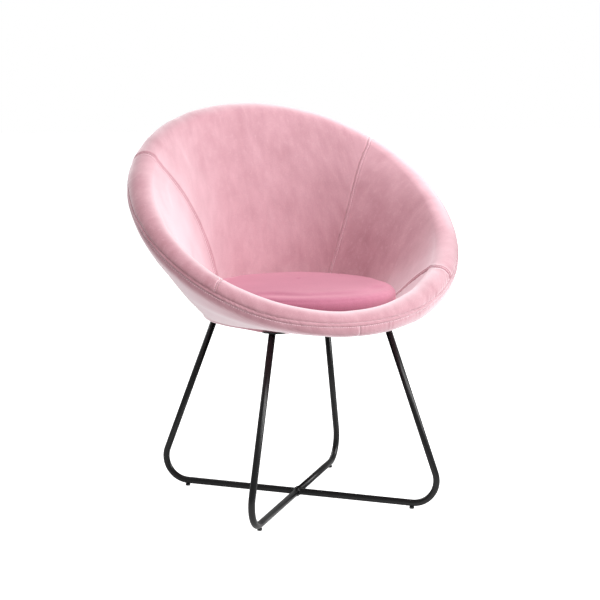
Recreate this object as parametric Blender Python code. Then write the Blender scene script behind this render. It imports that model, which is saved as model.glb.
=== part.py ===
"""Upholstered bucket armchair: padded egg-shaped shell, loose round seat cushion, bent-rod floor frame.

Metres, +Z up, front of the chair towards -Y, floor at z = 0.
The shell is one surface P(t, s): t runs round the seat (0 at the front, pi at the back), s runs up the
outside, over the rolled rim and down the inside. Every layer of the shell is a stretch of that surface
at a stated depth below its face, so the layers stay nested when a size is changed.
"""
import bmesh
import bpy
import numpy as np
from mathutils import Vector

# overall sizes of the shell
rimHalfWidth = 0.330      # centre line of the rolled rim, side to side
rimHalfDepth = 0.240      # centre line of the rolled rim, front to back
rimMidY = 0.020
rimFrontZ = 0.400         # height of the rim's centre line at the front, the arms and the back
rimArmZ = 0.597
rimBackZ = 0.787
rollRadius = 0.0275       # the padded roll along the rim
leanFront, leanArm, leanBack = 18.0, 47.0, 16.0   # degrees the wall leans out below the rim
baseZ = 0.3845            # underside of the upholstery
panHalfWidth = 0.1995     # the round foot of the shell
panHalfDepth = 0.189
panMidY = 0.010
panRise = 0.009           # height of the foot's rounded edge at the back
panRiseFront = 0.17       # share of that height at the front
edgeTip, edgeTipBack = 12.0, 22.0   # degrees the foot's edge leans out of the wall, more at the back
deckInset = 0.024         # the seat deck starts this far inside the foot's edge
outerBulge, outerPull = 0.27, 0.23
innerBulge, innerPull = 0.20, 0.35
innerReach = 0.050        # longest run of the inner wall's foot before it turns up
seamWarp = 0.66           # how far the inner seams swing towards the back on their way down
fanning = 1.5             # spreads the foot's stations so that sections stand square to the rim
frontSeam = np.radians(48.7)
backSeam = np.radians(127.5)
weltAngle = 36.5          # middle of the seam band, degrees up the roll's outer side
weltHalf = 8.0            # degrees
weltProud = 0.0012

# layer thicknesses
gap = 0.0003
cloth = 0.0016
coreThick = 0.006
boardThick = 0.010
lipWidth = 0.018
flangeStep = 0.0125       # the wall of the core stands this far inside the foot's outline at the flange
foamFoot = 0.0085         # outer corner of the foam on the board, inside the foot's outline
boardInset = 0.0135
padInset = 0.0030         # the pad stops this far inside the deck's edge
dustInset = 0.006
flangeRim = 0.004         # the flange runs this far past the middle of the deepest bolt

# loose seat cushion
cushionOver = 0.002       # widest line of the cushion beyond the foot's outline
cushionFrontOver = 0.008  # more at the front
cushionBackIn = 0.010     # less at the back
cushionCrown = 0.052      # height of the crown above the deck
cushionClear = 0.0023     # least room between the cushion and the walls round it

# floor frame of bent round rod
rodRadius = 0.007
cornerHalf = 0.225        # where the straight leg and the floor bar would cross
legTopIn = 0.0151         # centre of a leg's top, in from the plate's edge
bendRadius = 0.050
glideHeight = 0.005
glideRadius = 0.005
plateInset = 0.044        # from the narrow side of the foot in to the plate's edge
plateBar = 0.040
plateThick = 0.003
boltInX, boltInY = 0.023, 0.042   # bolts, in from the plate's edge
boltRadius = 0.003
holeClear = 0.0003
drillPast = 0.002         # how far a hole is cut past each face

rodZ = glideHeight + rodRadius
plateHalf = min(panHalfWidth, panHalfDepth) - plateInset
boltX, boltY = plateHalf - boltInX, plateHalf - boltInY
dustTop = baseZ - gap
dustThick = 0.0009
plateTop = dustTop - dustThick - gap
plateBottom = plateTop - plateThick
legLean = (cornerHalf - plateHalf + legTopIn) / (plateBottom - gap - rodZ)   # inward run per metre of height
flangeBottom = baseZ + cloth + gap
flangeTop = flangeBottom + coreThick
boardBottom = flangeTop + gap
boardTop = boardBottom + boardThick
padThick = 0.003
deckZ = boardTop + gap + padThick + gap + cloth

for old in list(bpy.data.objects):
    bpy.data.objects.remove(old, do_unlink=True)


# ---- materials and objects ----
def makeMaterial(name, colour, roughness, metallic=0.0):
    mat = bpy.data.materials.new(name)
    mat.use_nodes = True
    shader = mat.node_tree.nodes["Principled BSDF"]
    shader.inputs["Base Color"].default_value = (*colour, 1.0)
    shader.inputs["Roughness"].default_value = roughness
    shader.inputs["Metallic"].default_value = metallic
    return mat


velvet = (0.62, 0.30, 0.36)
blackPaint = (0.018, 0.018, 0.019)
foamCream = (0.80, 0.74, 0.55)
bareWood = (0.62, 0.46, 0.28)
zincGrey = (0.5, 0.5, 0.5)
blackCloth = (0.03, 0.03, 0.032)


def addObject(name, verts, faces, colour, roughness, metallic=0.0, smooth=True):
    mesh = bpy.data.meshes.new(name)
    mesh.from_pydata([tuple(map(float, v)) for v in verts], [], faces)
    bm = bmesh.new()
    bm.from_mesh(mesh)
    bmesh.ops.remove_doubles(bm, verts=bm.verts, dist=1e-6)
    bmesh.ops.recalc_face_normals(bm, faces=bm.faces)
    if bm.calc_volume(signed=True) < 0:
        bmesh.ops.reverse_faces(bm, faces=bm.faces)
    bm.to_mesh(mesh)
    bm.free()
    if smooth:
        mesh.shade_smooth()
    obj = bpy.data.objects.new(name, mesh)
    bpy.context.scene.collection.objects.link(obj)
    mesh.materials.append(makeMaterial(name + "_mat", colour, roughness, metallic))
    return obj


# ---- the shell surface ----
def bezier(p0, p1, p2, p3, u):
    u = u[..., None]
    v = 1.0 - u
    return v**3 * p0 + 3 * u * v**2 * p1 + 3 * u**2 * v * p2 + u**3 * p3


def pair(a, b):
    return np.stack(np.broadcast_arrays(a, b), -1)


def outline(t):
    """Foot outline point and the direction from it towards the rim, both in plan."""
    square = (rimHalfWidth / rimHalfDepth)**fanning
    turn = np.arctan2(square * np.sin(t), np.cos(t))
    foot = pair(panHalfWidth * np.sin(turn), panMidY - panHalfDepth * np.cos(turn))
    rim = pair(rimHalfWidth * np.sin(t), rimMidY - rimHalfDepth * np.cos(t))
    run = rim - foot
    reach = np.linalg.norm(run, axis=-1)
    return foot, run / reach[..., None], reach


def profile(t, s):
    """Section of the finished face at t as (distance outside the foot's outline, height).
    s 0..1 under the foot's edge, 1..2 outer wall, 2..3 the roll, 3..4 inner wall."""
    _, _, reach = outline(t)
    k = (1 - np.cos(t)) / 2
    meanZ = (rimFrontZ + rimBackZ) / 4 + rimArmZ / 2
    rimZ = meanZ - (rimBackZ - rimFrontZ) / 2 * np.cos(t) + (meanZ - rimArmZ) * np.cos(2 * t)
    lean = np.radians(leanFront * (1 - k)**2 + leanArm * 2 * k * (1 - k) + leanBack * k**2)
    up = pair(np.sin(lean), np.cos(lean))
    out = pair(np.cos(lean), -np.sin(lean))
    centre = pair(reach, rimZ)
    outerEnd = centre + out * rollRadius
    innerEnd = centre - out * rollRadius
    edgeZ = baseZ + panRise * (panRiseFront + (1 - panRiseFront) * (1 - (1 - k)**2))
    edge = pair(0.0 * t, edgeZ)
    chord = outerEnd - edge
    length = np.linalg.norm(chord, axis=-1)[..., None]
    tip = np.arctan2(chord[..., 0], chord[..., 1]) + np.radians(edgeTip + edgeTipBack * k**4)
    edgeDir = pair(np.sin(tip), np.cos(tip))
    under = bezier(pair(0 * t - lipWidth, baseZ + 0 * t), pair(0 * t - 0.4 * panRise, baseZ + 0 * t),
                   edge - edgeDir * 0.6 * panRise, edge, np.clip(s, 0, 1))
    wall = bezier(edge, edge + edgeDir * length * outerBulge, outerEnd - up * length * outerPull,
                  outerEnd, np.clip(s - 1, 0, 1))
    turn = (np.clip(s - 2, 0, 1) * np.pi)[..., None]
    roll = centre + rollRadius * (np.cos(turn) * out + np.sin(turn) * up)
    deck = pair(0 * t - deckInset, deckZ + 0 * t)
    fall = np.linalg.norm(innerEnd - deck, axis=-1)[..., None]
    turnUp = deck + np.array([1.0, 0.0]) * np.minimum(fall * innerBulge, innerReach)
    inside = bezier(innerEnd, innerEnd - up * fall * innerPull, turnUp, deck, np.clip(s - 3, 0, 1))
    s = s[..., None]
    return np.where(s <= 1, under, np.where(s <= 2, wall, np.where(s <= 3, roll, inside)))


def inPlan(t, wz):
    foot, run, _ = outline(t)
    return np.concatenate([foot + run * wz[..., :1], wz[..., 1:]], -1)


def swing(t, share):
    """Inner seams leave the rim at t and reach the deck further back."""
    return t + seamWarp * np.sin(t) * ((1 - np.cos(t)) / 2)**1.5 * share


def surface(ts, ss, depth):
    """Grid of points on the shell at the given depth below its face (rows t, columns s)."""
    t, s = np.meshgrid(np.asarray(ts, float), np.asarray(ss, float), indexing="ij")
    t = swing(t, np.clip(s - 3, 0, 1))
    lo, hi = np.maximum(s - 0.002, np.floor(s - 1e-9)), np.minimum(s + 0.002, np.ceil(s + 1e-9))
    along = profile(t, hi) - profile(t, lo)
    along /= np.linalg.norm(along, axis=-1)[..., None]
    inward = pair(-along[..., 1], along[..., 0])
    return inPlan(t, profile(t, s) + inward * depth)


def fixedLine(ts, points):
    """Grid from fixed section points, one column for each (w, z)."""
    ts = np.asarray(ts, float)
    return np.stack([inPlan(ts, pair(0 * ts + w, 0 * ts + z)) for w, z in points], 1)


# ---- closed bodies from grids ----
def gridFaces(rows, cols, base, closed, flip=False, cross=False):
    faces = []
    for i in range(rows if closed else rows - 1):
        n = (i + 1) % rows
        for j in range(cols - 1):
            a, b = base + i * cols + j, base + n * cols + j
            c, d = base + n * cols + j + 1, base + i * cols + j + 1
            tris = [(a, b, d), (b, c, d)] if cross else [(a, b, c), (a, c, d)]
            faces += [f[::-1] for f in tris] if flip else tris
    return faces


def layer(name, faceGrid, backGrid, colour, roughness, closed=True, crossBack=False):
    """Closed body between two grids that share their rows; open strips get end faces."""
    rows, nf = faceGrid.shape[:2]
    nb = backGrid.shape[1]
    off = rows * nf
    verts = np.concatenate([faceGrid.reshape(-1, 3), backGrid.reshape(-1, 3)])
    faces = gridFaces(rows, nf, 0, closed) + gridFaces(rows, nb, off, closed, flip=True, cross=crossBack)
    for i in range(rows if closed else rows - 1):
        n = (i + 1) % rows
        faces += [(i * nf, off + i * nb, n * nf), (off + i * nb, off + n * nb, n * nf)]
        i1, n1, i2, n2 = i * nf + nf - 1, n * nf + nf - 1, off + i * nb + nb - 1, off + n * nb + nb - 1
        faces += [(i1, n1, i2), (n1, n2, i2)]
    if not closed:
        for j in range(nf - 1):
            faces += [(j, j + 1, off + j), (j + 1, off + j + 1, off + j)]
            r, q = (rows - 1) * nf + j, off + (rows - 1) * nb + j
            faces += [(r, q, r + 1), (r + 1, q, q + 1)]
    return addObject(name, verts, faces, colour, roughness)


def disc(name, ts, w, low, high, colour, roughness):
    """Flat plate whose outline follows the foot of the shell at distance w."""
    ring = fixedLine(ts, [(w, low), (w, high)])
    n = len(ts)
    verts = np.concatenate([ring[:, 0], ring[:, 1]])
    faces = [(i, (i + 1) % n, n + (i + 1) % n, n + i) for i in range(n)]
    faces += [tuple(range(n))[::-1], tuple(range(n, 2 * n))]
    return addObject(name, verts, faces, colour, roughness, smooth=False)


def lathe(name, rings, centre, sides, colour, roughness, metallic=0.0):
    """Turned body about a vertical axis. rings lists (radius, z); radius 0 ends are poles."""
    turn = np.arange(sides) * 2 * np.pi / sides
    verts, index = [], []
    for r, z in rings:
        if r == 0:
            index.append([len(verts)] * sides)
            verts.append((centre[0], centre[1], z))
        else:
            index.append([len(verts) + i for i in range(sides)])
            verts += [(centre[0] + r * np.cos(a), centre[1] + r * np.sin(a), z) for a in turn]
    loops = list(zip(index[:-1], index[1:]))
    if rings[0][0] != 0:
        loops.append((index[-1], index[0]))
    faces = []
    for low, high in loops:
        for i in range(sides):
            n = (i + 1) % sides
            f = [low[i], low[n], high[n], high[i]]
            faces.append(tuple(v for k, v in enumerate(f) if v not in f[:k]))
    return addObject(name, verts, faces, colour, roughness, metallic)


def cutHoles(obj, places, radius, low, high, sides=12):
    for k, (x, y) in enumerate(places):
        bm = bmesh.new()
        bmesh.ops.create_cone(bm, cap_ends=True, segments=sides, radius1=radius, radius2=radius,
                              depth=high - low)
        bmesh.ops.translate(bm, verts=bm.verts, vec=(x, y, (low + high) / 2))
        mesh = bpy.data.meshes.new("hole")
        bm.to_mesh(mesh)
        bm.free()
        cutter = bpy.data.objects.new("%s_hole_%d" % (obj.name, k), mesh)
        bpy.context.scene.collection.objects.link(cutter)
        cut = obj.modifiers.new("hole", "BOOLEAN")
        cut.operation, cut.solver, cut.object = "DIFFERENCE", "EXACT", cutter
        bpy.context.view_layer.update()
        shape = bpy.data.meshes.new_from_object(obj.evaluated_get(bpy.context.evaluated_depsgraph_get()))
        obj.modifiers.clear()
        obj.data = shape
        bpy.data.objects.remove(cutter, do_unlink=True)


# ---- stations round the seat and along the section ----
frontHalf = np.linspace(0, frontSeam, 7)
sideRun = np.linspace(frontSeam, backSeam, 10)
backHalf = np.linspace(backSeam, np.pi, 7)
halfRound = np.concatenate([frontHalf, sideRun[1:], backHalf[1:]])
allRound = np.concatenate([halfRound, 2 * np.pi - halfRound[-2:0:-1]])
frontRun = np.concatenate([-frontHalf[:0:-1], frontHalf])
backRun = np.concatenate([backHalf, 2 * np.pi - backHalf[-2::-1]])


def rollAt(degrees):
    return 2 + degrees / 180


coverTop = rollAt(weltAngle - weltHalf - 1)
liningStart = rollAt(weltAngle + weltHalf + 1)
coreTop = rollAt(20)
foamStart = rollAt(21.2)
wallStops = [1.0, 1.14, 1.3, 1.5, 1.74]
outerStops = [0.0, 0.45, 0.8] + wallStops + [2.0, coreTop, coverTop]
liningStops = [liningStart, rollAt(78), rollAt(106), rollAt(134), rollAt(158), 3.0,
               3.2, 3.4, 3.57, 3.7, 3.81, 3.9, 4.0]
seamGap = 0.6 * gap / rimHalfDepth


def tucked(ts):
    """The same stations with the two end ones drawn in by half a seam gap."""
    ts = np.array(ts, float)
    ts[0] += seamGap
    ts[-1] -= seamGap
    return ts


def depthInside(x, y):
    """How far inside the foot's outline a point lies, along the station that points at it."""
    foot, run, _ = outline(np.linspace(0, 2 * np.pi, 721))
    away = np.array([x, y]) - foot
    deep = -(away * run).sum(-1)
    beside = np.abs(away[:, 0] * run[:, 1] - away[:, 1] * run[:, 0])
    near = (deep > 0) & (deep < min(panHalfWidth, panHalfDepth))
    return float(deep[np.where(near, beside, 1.0).argmin()])


# ---- shell: core, foam, covers ----
bolts = [(sx * boltX, sy * boltY) for sx in (-1, 1) for sy in (-1, 1)]
flangeWidth = max(depthInside(x, y) for x, y in bolts) + flangeRim
core = layer("shell_core",
             np.concatenate([fixedLine(allRound, [(-flangeWidth, flangeBottom)]),
                             surface(allRound, outerStops[:-1], cloth + gap)], 1),
             np.concatenate([fixedLine(allRound, [(-flangeWidth, flangeTop), (-flangeStep, flangeTop)]),
                             surface(allRound, [1.08] + wallStops[1:] + [2.0, coreTop],
                                     cloth + gap + coreThick)], 1),
             bareWood, 0.6)
foam = layer("shell_foam",
             surface(allRound, [foamStart, coverTop] + liningStops, cloth + gap),
             np.concatenate([surface(allRound, ([1.08] + wallStops[1:] + [2.0, foamStart])[::-1],
                                     cloth + 2 * gap + coreThick),
                             fixedLine(allRound, [(-foamFoot, boardTop + gap)]),
                             fixedLine(swing(allRound, 1), [(-deckInset, boardTop + gap)])], 1),
             foamCream, 0.9, crossBack=True)
coverSides = [("outer_cover_right", halfRound), ("outer_cover_left", -halfRound[::-1])]
for name, ts in coverSides:
    ts = tucked(ts)
    layer(name, surface(ts, outerStops, 0.0), surface(ts, outerStops, cloth), velvet, 0.8, closed=False)
linings = [("lining_front", frontRun), ("lining_right", sideRun),
           ("lining_back", backRun), ("lining_left", -sideRun[::-1])]
for name, ts in linings:
    ts = tucked(ts)
    layer(name, surface(ts, liningStops, 0.0), surface(ts, liningStops, cloth), velvet, 0.8, closed=False)

weltLow, weltHigh = rollAt(weltAngle - weltHalf), rollAt(weltAngle + weltHalf)
weltStops = [weltLow, rollAt(weltAngle - weltHalf / 2), rollAt(weltAngle + weltHalf / 2), weltHigh]
weltFace = surface(allRound, weltStops, -weltProud)
weltFace[:, 0] = surface(allRound, weltStops[:1], 0.0)[:, 0]
weltFace[:, -1] = surface(allRound, weltStops[-1:], 0.0)[:, 0]
layer("rim_welt", weltFace, surface(allRound, [weltLow, weltHigh], cloth), velvet, 0.75)

# ---- base of the shell ----
holeRadius = boltRadius + holeClear
barrelRadius = 0.0040
flangeR, flangeT = 0.0090, 0.0012
teeNutShort, teeNutSunk = 0.001, 0.0001   # above the board's underside and below its top
cutHoles(core, bolts, holeRadius, flangeBottom - drillPast, flangeTop + drillPast)
board = disc("seat_board", allRound, -boardInset, boardBottom, boardTop, bareWood, 0.6)
cutHoles(board, bolts, barrelRadius + holeClear, boardBottom - drillPast, boardTop + drillPast)
cutHoles(board, bolts, flangeR + holeClear, boardTop - flangeT - holeClear, boardTop + drillPast)
disc("deck_pad", allRound, -deckInset - padInset, boardTop + gap, boardTop + gap + padThick, foamCream, 0.9)
disc("deck_cover", allRound, -deckInset - cloth, deckZ - cloth, deckZ, velvet, 0.8)
dust = disc("dust_cover", allRound, -dustInset, dustTop - dustThick, dustTop, blackCloth, 0.9)
cutHoles(dust, bolts, holeRadius, dustTop - dustThick - drillPast, dustTop + drillPast)

# ---- loose seat cushion, its rings follow the foot of the shell ----
deckGap = 0.0004
cushionLow = deckZ + deckGap
crownZ = deckZ + cushionCrown
side = [(-0.032, 0.0), (-0.019, 0.0024), (-0.0085, 0.0080), (-0.0020, 0.0155), (0.0, 0.0235),
        (-0.0022, 0.0315), (-0.0090, 0.0385), (-0.0200, 0.0435), (-0.034, 0.0465)]
domeShares = [0.74, 0.52, 0.28]


def cushionReach():
    """Widest line of the cushion beyond the foot, held clear of the inner wall all round."""
    design = (cushionOver + cushionFrontOver * ((1 + np.cos(allRound)) / 2)**2
              - cushionBackIn * ((1 - np.cos(allRound)) / 2)**2)
    t, s = np.meshgrid(allRound, np.linspace(3, 4, 201), indexing="ij")
    wall = profile(t, s)[:, ::-1]       # from the deck up, so that heights rise
    heights = cushionLow + np.array(side)[:, 1]
    room = np.array([np.interp(heights, line[:, 1], line[:, 0]) - np.array(side)[:, 0] for line in wall])
    return np.minimum(design, room[:, 2:].min(1) - cushionClear)


def cushionGrid(inset):
    """Rings from the bottom edge up the side; inset is measured square to the face."""
    grow = cushionReach()
    line = np.array(side)
    line = np.concatenate([line, [[-0.055, 0.0490]]])
    step = np.gradient(line, axis=0)
    step /= np.linalg.norm(step, axis=1)[:, None]
    inner = line + inset * np.stack([-step[:, 1], step[:, 0]], 1)
    inner[0] = (line[0, 0], inset)
    cols = [inPlan(allRound, pair(w + grow * float(np.clip((w + 0.032) / 0.02, 0, 1)),
                                  0 * grow + cushionLow + h)) for w, h in inner[:-1]]
    middle = np.array([0.0, panMidY])
    for share in domeShares:
        ring = inPlan(allRound, pair(0 * allRound - 0.034 + grow, 0 * allRound))
        flat = middle + (ring[:, :2] - middle) * share
        rise = side[-1][1] + (cushionCrown - deckGap - side[-1][1]) * (1 - share**2)
        cols.append(np.concatenate([flat, 0 * flat[:, :1] + cushionLow + rise - inset], 1))
    return np.stack(cols, 1), (0.0, panMidY, crownZ - inset)


def cushionBody(name, outer, inner, colour, roughness):
    """Dome with a pole on top. inner is a second grid for a skin, or None for a solid."""
    grid, pole = outer
    rows, cols = grid.shape[:2]
    verts = list(grid.reshape(-1, 3)) + [pole]
    faces = gridFaces(rows, cols, 0, True)
    top = rows * cols
    faces += [(i * cols + cols - 1, ((i + 1) % rows) * cols + cols - 1, top) for i in range(rows)]
    if inner is None:
        faces.append(tuple(i * cols for i in range(rows))[::-1])
    else:
        grid2, pole2 = inner
        off = top + 1
        verts += list(grid2.reshape(-1, 3)) + [pole2]
        faces += gridFaces(rows, cols, off, True, flip=True)
        top2 = off + rows * cols
        for i in range(rows):
            n = (i + 1) % rows
            faces.append((off + n * cols + cols - 1, off + i * cols + cols - 1, top2))
            faces.append((n * cols, i * cols, off + i * cols, off + n * cols))
    return addObject(name, verts, faces, colour, roughness)


cushionBody("cushion_cover", cushionGrid(0.0), cushionGrid(cloth), velvet, 0.8)
cushionBody("cushion_foam", cushionGrid(cloth + gap), None, foamCream, 0.9)
disc("cushion_base", allRound, side[0][0] - cloth, cushionLow, cushionLow + cloth, blackCloth, 0.9)


# ---- floor frame ----
def sweepRod(name, path, levelEnds):
    """Round rod along a path in a vertical plane. levelEnds marks ends cut level with the floor."""
    sides = 12
    path = [Vector(p) for p in path]
    verts, faces = [], []
    turn = np.arange(sides) * 2 * np.pi / sides
    span = path[-1] - path[0]
    across = Vector((span.x, span.y, 0)).normalized().cross(Vector((0, 0, 1)))
    for i, p in enumerate(path):
        back = (p - path[i - 1]).normalized() if i else (path[1] - p).normalized()
        ahead = (path[i + 1] - p).normalized() if i < len(path) - 1 else back
        along = (back + ahead).normalized()
        other = across.cross(along).normalized()
        for a in turn:
            v = p + rodRadius * (float(np.cos(a)) * across + float(np.sin(a)) * other)
            if (i == 0 and levelEnds[0]) or (i == len(path) - 1 and levelEnds[1]):
                v = v + along * ((p.z - v.z) / along.z)
            verts.append(v)
    for i in range(len(path) - 1):
        for k in range(sides):
            n = (k + 1) % sides
            faces.append((i * sides + k, i * sides + n, (i + 1) * sides + n, (i + 1) * sides + k))
    last = (len(path) - 1) * sides
    faces += [tuple(range(sides))[::-1], tuple(range(last, last + sides))]
    return addObject(name, verts, faces, blackPaint, 0.45, 0.2)


def legPath(sx, sy):
    """From the top of one leg down, round the bend, to the start of the floor bar."""
    corner = Vector((sx * cornerHalf, sy * cornerHalf, rodZ))
    rise = Vector((-sx * legLean, -sy * legLean, 1.0)).normalized()
    along = Vector((-sx, -sy, 0.0)).normalized()
    opening = rise.angle(along)
    reach = bendRadius / float(np.tan(opening / 2))
    middle = corner + (rise + along).normalized() * (bendRadius / float(np.sin(opening / 2)))
    start, end = corner + rise * reach - middle, corner + along * reach - middle
    steps, sweep = 9, start.angle(end)
    arc = [middle + (start * float(np.sin(sweep * (1 - q))) + end * float(np.sin(sweep * q)))
           / float(np.sin(sweep)) for q in np.linspace(0, 1, steps)]
    topZ = plateBottom - gap
    top = corner + rise * ((topZ - rodZ) / rise.z)
    return [top] + arc


rearLeft, frontRight = legPath(-1, 1), legPath(1, -1)
sweepRod("rod_a", rearLeft + frontRight[::-1], (True, True))
weldStart = rodRadius + gap
weldOver, weldRun = 0.0024, 0.0032      # how far a weld stands off the rod and runs along it
for name, sx, sy in (("rod_b_front", -1, -1), ("rod_b_rear", 1, 1)):
    end = Vector((sx, sy, 0)).normalized() * weldStart + Vector((0, 0, rodZ))
    sweepRod(name, legPath(sx, sy) + [end], (True, False))
for name, sx, sy in (("weld_front", -1, -1), ("weld_rear", 1, 1)):
    aim = Vector((sx, sy, 0)).normalized()
    across = aim.cross(Vector((0, 0, 1)))
    section = [(rodRadius + gap, weldStart), (rodRadius + weldOver, weldStart),
               (rodRadius + weldOver * 0.42, weldStart + weldRun * 0.62),
               (rodRadius + gap, weldStart + weldRun)]
    turn = np.arange(16) * 2 * np.pi / 16
    verts = [aim * d + Vector((0, 0, rodZ)) + across * float(r * np.cos(a))
             + Vector((0, 0, float(r * np.sin(a)))) for r, d in section for a in turn]
    faces = [(j * 16 + k, j * 16 + (k + 1) % 16, (j + 1) % 4 * 16 + (k + 1) % 16, (j + 1) % 4 * 16 + k)
             for j in range(4) for k in range(16)]
    addObject(name, verts, faces, blackPaint, 0.5, 0.2)

bendStart = legPath(1, 1)[-1].x
for name, sx, sy in (("glide_front_left", -1, -1), ("glide_front_right", 1, -1),
                     ("glide_rear_left", -1, 1), ("glide_rear_right", 1, 1)):
    top = glideHeight - gap
    lathe(name, [(0, 0), (glideRadius - 0.0006, 0), (glideRadius, 0.0006), (glideRadius, top), (0, top)],
          (sx * bendStart, sy * bendStart), 16, (0.02, 0.02, 0.02), 0.6)

# ---- mounting plate and its fixings ----
cornerCut = 0.019
inner = plateHalf - plateBar


def squareRing(half, cut):
    """Eight points of a square with its corners cut, going round."""
    return [(half, -half + cut), (half, half - cut), (half - cut, half), (-half + cut, half),
            (-half, half - cut), (-half, -half + cut), (-half + cut, -half), (half - cut, -half)]


verts = [(x, y, z) for z in (plateBottom, plateTop)
         for x, y in squareRing(plateHalf, cornerCut) + squareRing(inner, cornerCut * 0.5)]
faces = []
for k in range(8):
    n = (k + 1) % 8
    faces += [(k, n, 16 + n, 16 + k), (8 + n, 8 + k, 24 + k, 24 + n),
              (n, k, 8 + k, 8 + n), (16 + k, 16 + n, 24 + n, 24 + k)]
plate = addObject("mount_plate", verts, faces, blackPaint, 0.45, 0.3, smooth=False)
cutHoles(plate, bolts, holeRadius, plateBottom - drillPast, plateTop + drillPast)
washerThick, headHigh, headRadius = 0.0012, 0.0034, 0.0055
washerRadius = 0.0065
boltShort = 0.0022        # a bolt ends this far below the board's top
for k, place in enumerate(bolts):
    washTop = plateBottom - gap
    washLow = washTop - washerThick
    lathe("washer_%d" % (k + 1), [(holeRadius, washLow), (washerRadius, washLow),
                                  (washerRadius, washTop), (holeRadius, washTop)],
          place, 12, zincGrey, 0.35, 1.0)
    headTop = washLow - gap
    lathe("bolt_%d" % (k + 1), [(0, headTop - headHigh), (headRadius * 0.75, headTop - headHigh),
                                (headRadius, headTop - headHigh * 0.45), (headRadius, headTop),
                                (boltRadius, headTop), (boltRadius, boardTop - boltShort),
                                (0, boardTop - boltShort)],
          place, 12, zincGrey, 0.35, 1.0)
    flangeLow = boardTop - flangeT
    flangeHigh = boardTop - teeNutSunk
    lathe("tee_nut_%d" % (k + 1), [(holeRadius, boardBottom + teeNutShort), (barrelRadius, boardBottom + teeNutShort),
                                   (barrelRadius, flangeLow), (flangeR, flangeLow), (flangeR, flangeHigh),
                                   (holeRadius, flangeHigh)],
          place, 12, zincGrey, 0.4, 1.0)

# ---- the origin is the middle of the chair's own box, on the floor ----
everything = [o for o in bpy.context.scene.objects if o.type == "MESH"]
depthLine = [v.co.y for o in everything for v in o.data.vertices]
shift = -(min(depthLine) + max(depthLine)) / 2
for o in everything:
    for v in o.data.vertices:
        v.co.y += shift
    o.data.update()
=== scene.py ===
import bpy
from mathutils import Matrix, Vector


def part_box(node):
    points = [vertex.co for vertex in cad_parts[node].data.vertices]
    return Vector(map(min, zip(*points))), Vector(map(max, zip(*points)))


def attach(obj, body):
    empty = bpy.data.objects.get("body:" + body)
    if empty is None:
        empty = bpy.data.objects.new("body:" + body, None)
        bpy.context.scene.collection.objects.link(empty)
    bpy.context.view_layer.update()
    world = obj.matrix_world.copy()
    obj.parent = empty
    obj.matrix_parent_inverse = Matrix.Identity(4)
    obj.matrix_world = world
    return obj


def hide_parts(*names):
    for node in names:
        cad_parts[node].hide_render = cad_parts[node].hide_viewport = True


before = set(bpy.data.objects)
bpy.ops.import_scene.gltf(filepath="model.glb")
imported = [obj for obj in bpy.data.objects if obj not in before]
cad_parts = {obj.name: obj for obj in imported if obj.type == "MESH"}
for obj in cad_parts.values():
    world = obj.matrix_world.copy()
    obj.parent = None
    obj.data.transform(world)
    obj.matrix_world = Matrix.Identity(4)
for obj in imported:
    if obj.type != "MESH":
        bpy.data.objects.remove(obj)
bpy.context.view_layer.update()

from types import SimpleNamespace
import bmesh
import bpy
import numpy as np
from mathutils import Matrix, Vector

# Bucket armchair: velvet over a moulded shell, a loose round cushion and a frame of bent rod.
# Metres, +Z up, front towards -Y. The shell is one surface: t runs round the seat (0 at the front,
# pi at the back), s runs 0..1 under the foot, 1..2 up the outside, 2..3 over the rolled rim and
# 3..4 down the inside.
mm = 0.001
pi = np.pi

# Camera, light and floor
cameraView = {"place": (-1.4314, -2.7214, 0.9021), "aim": (-0.0009, -0.0197, 0.419),
              "lens": 90.05, "roll": 0.896}       # metres, millimetres, degrees
studio = {
    "skySeen": 1.0, "skyLight": 0.40,             # what the camera sees, and what lights the chair
    "floorSeen": 1.0, "floorLight": 0.22, "floorPaint": "D8D8D8", "floorSize": 30.0, "floorZ": -0.4 * mm,
    "lamps": {                                    # place, aim, size in metres, watts
        "key_lamp": ((2.4, -1.7, 2.2), (0.0, 0.0, 0.5), (1.4, 1.4), 66.0),
        "overhead_lamp": ((0.4, -1.6, 2.9), (0.0, 0.0, 0.5), (1.5, 1.5), 50.0),
        "top_lamp": ((0.0, 0.0, 3.2), (0.0, 0.0, 0.5), (1.8, 1.8), 14.0),
        "back_lamp": ((-0.6, 2.6, 1.8), (0.0, 0.0, 0.5), (1.5, 1.5), 27.0),
    },
}


def makeCamera(view):
    # back runs from the aim to the camera, right is level; both then turn by the roll about back
    back = (Vector(view["place"]) - Vector(view["aim"])).normalized()
    level = Vector((0, 0, 1)).cross(back).normalized()
    upright = back.cross(level)
    turn = np.radians(view["roll"])
    right = level * float(np.cos(turn)) + upright * float(np.sin(turn))
    up = upright * float(np.cos(turn)) - level * float(np.sin(turn))
    data = bpy.data.cameras.new("camera")
    data.lens, data.sensor_width = view["lens"], 36.0
    data.clip_start, data.clip_end = 0.05, 80.0
    camera = bpy.data.objects.new("camera", data)
    bpy.context.scene.collection.objects.link(camera)
    camera.matrix_world = Matrix.Translation(view["place"]) @ Matrix((right, up, back)).transposed().to_4x4()
    bpy.context.scene.camera = camera


def linear(hexColour):
    # sRGB to linear: c / 12.92 up to 0.04045, else ((c + 0.055) / 1.055) ** 2.4
    c = np.array([int(hexColour[i:i + 2], 16) for i in (0, 2, 4)]) / 255
    return (*np.where(c <= 0.04045, c / 12.92, ((c + 0.055) / 1.055)**2.4), 1.0)


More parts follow.
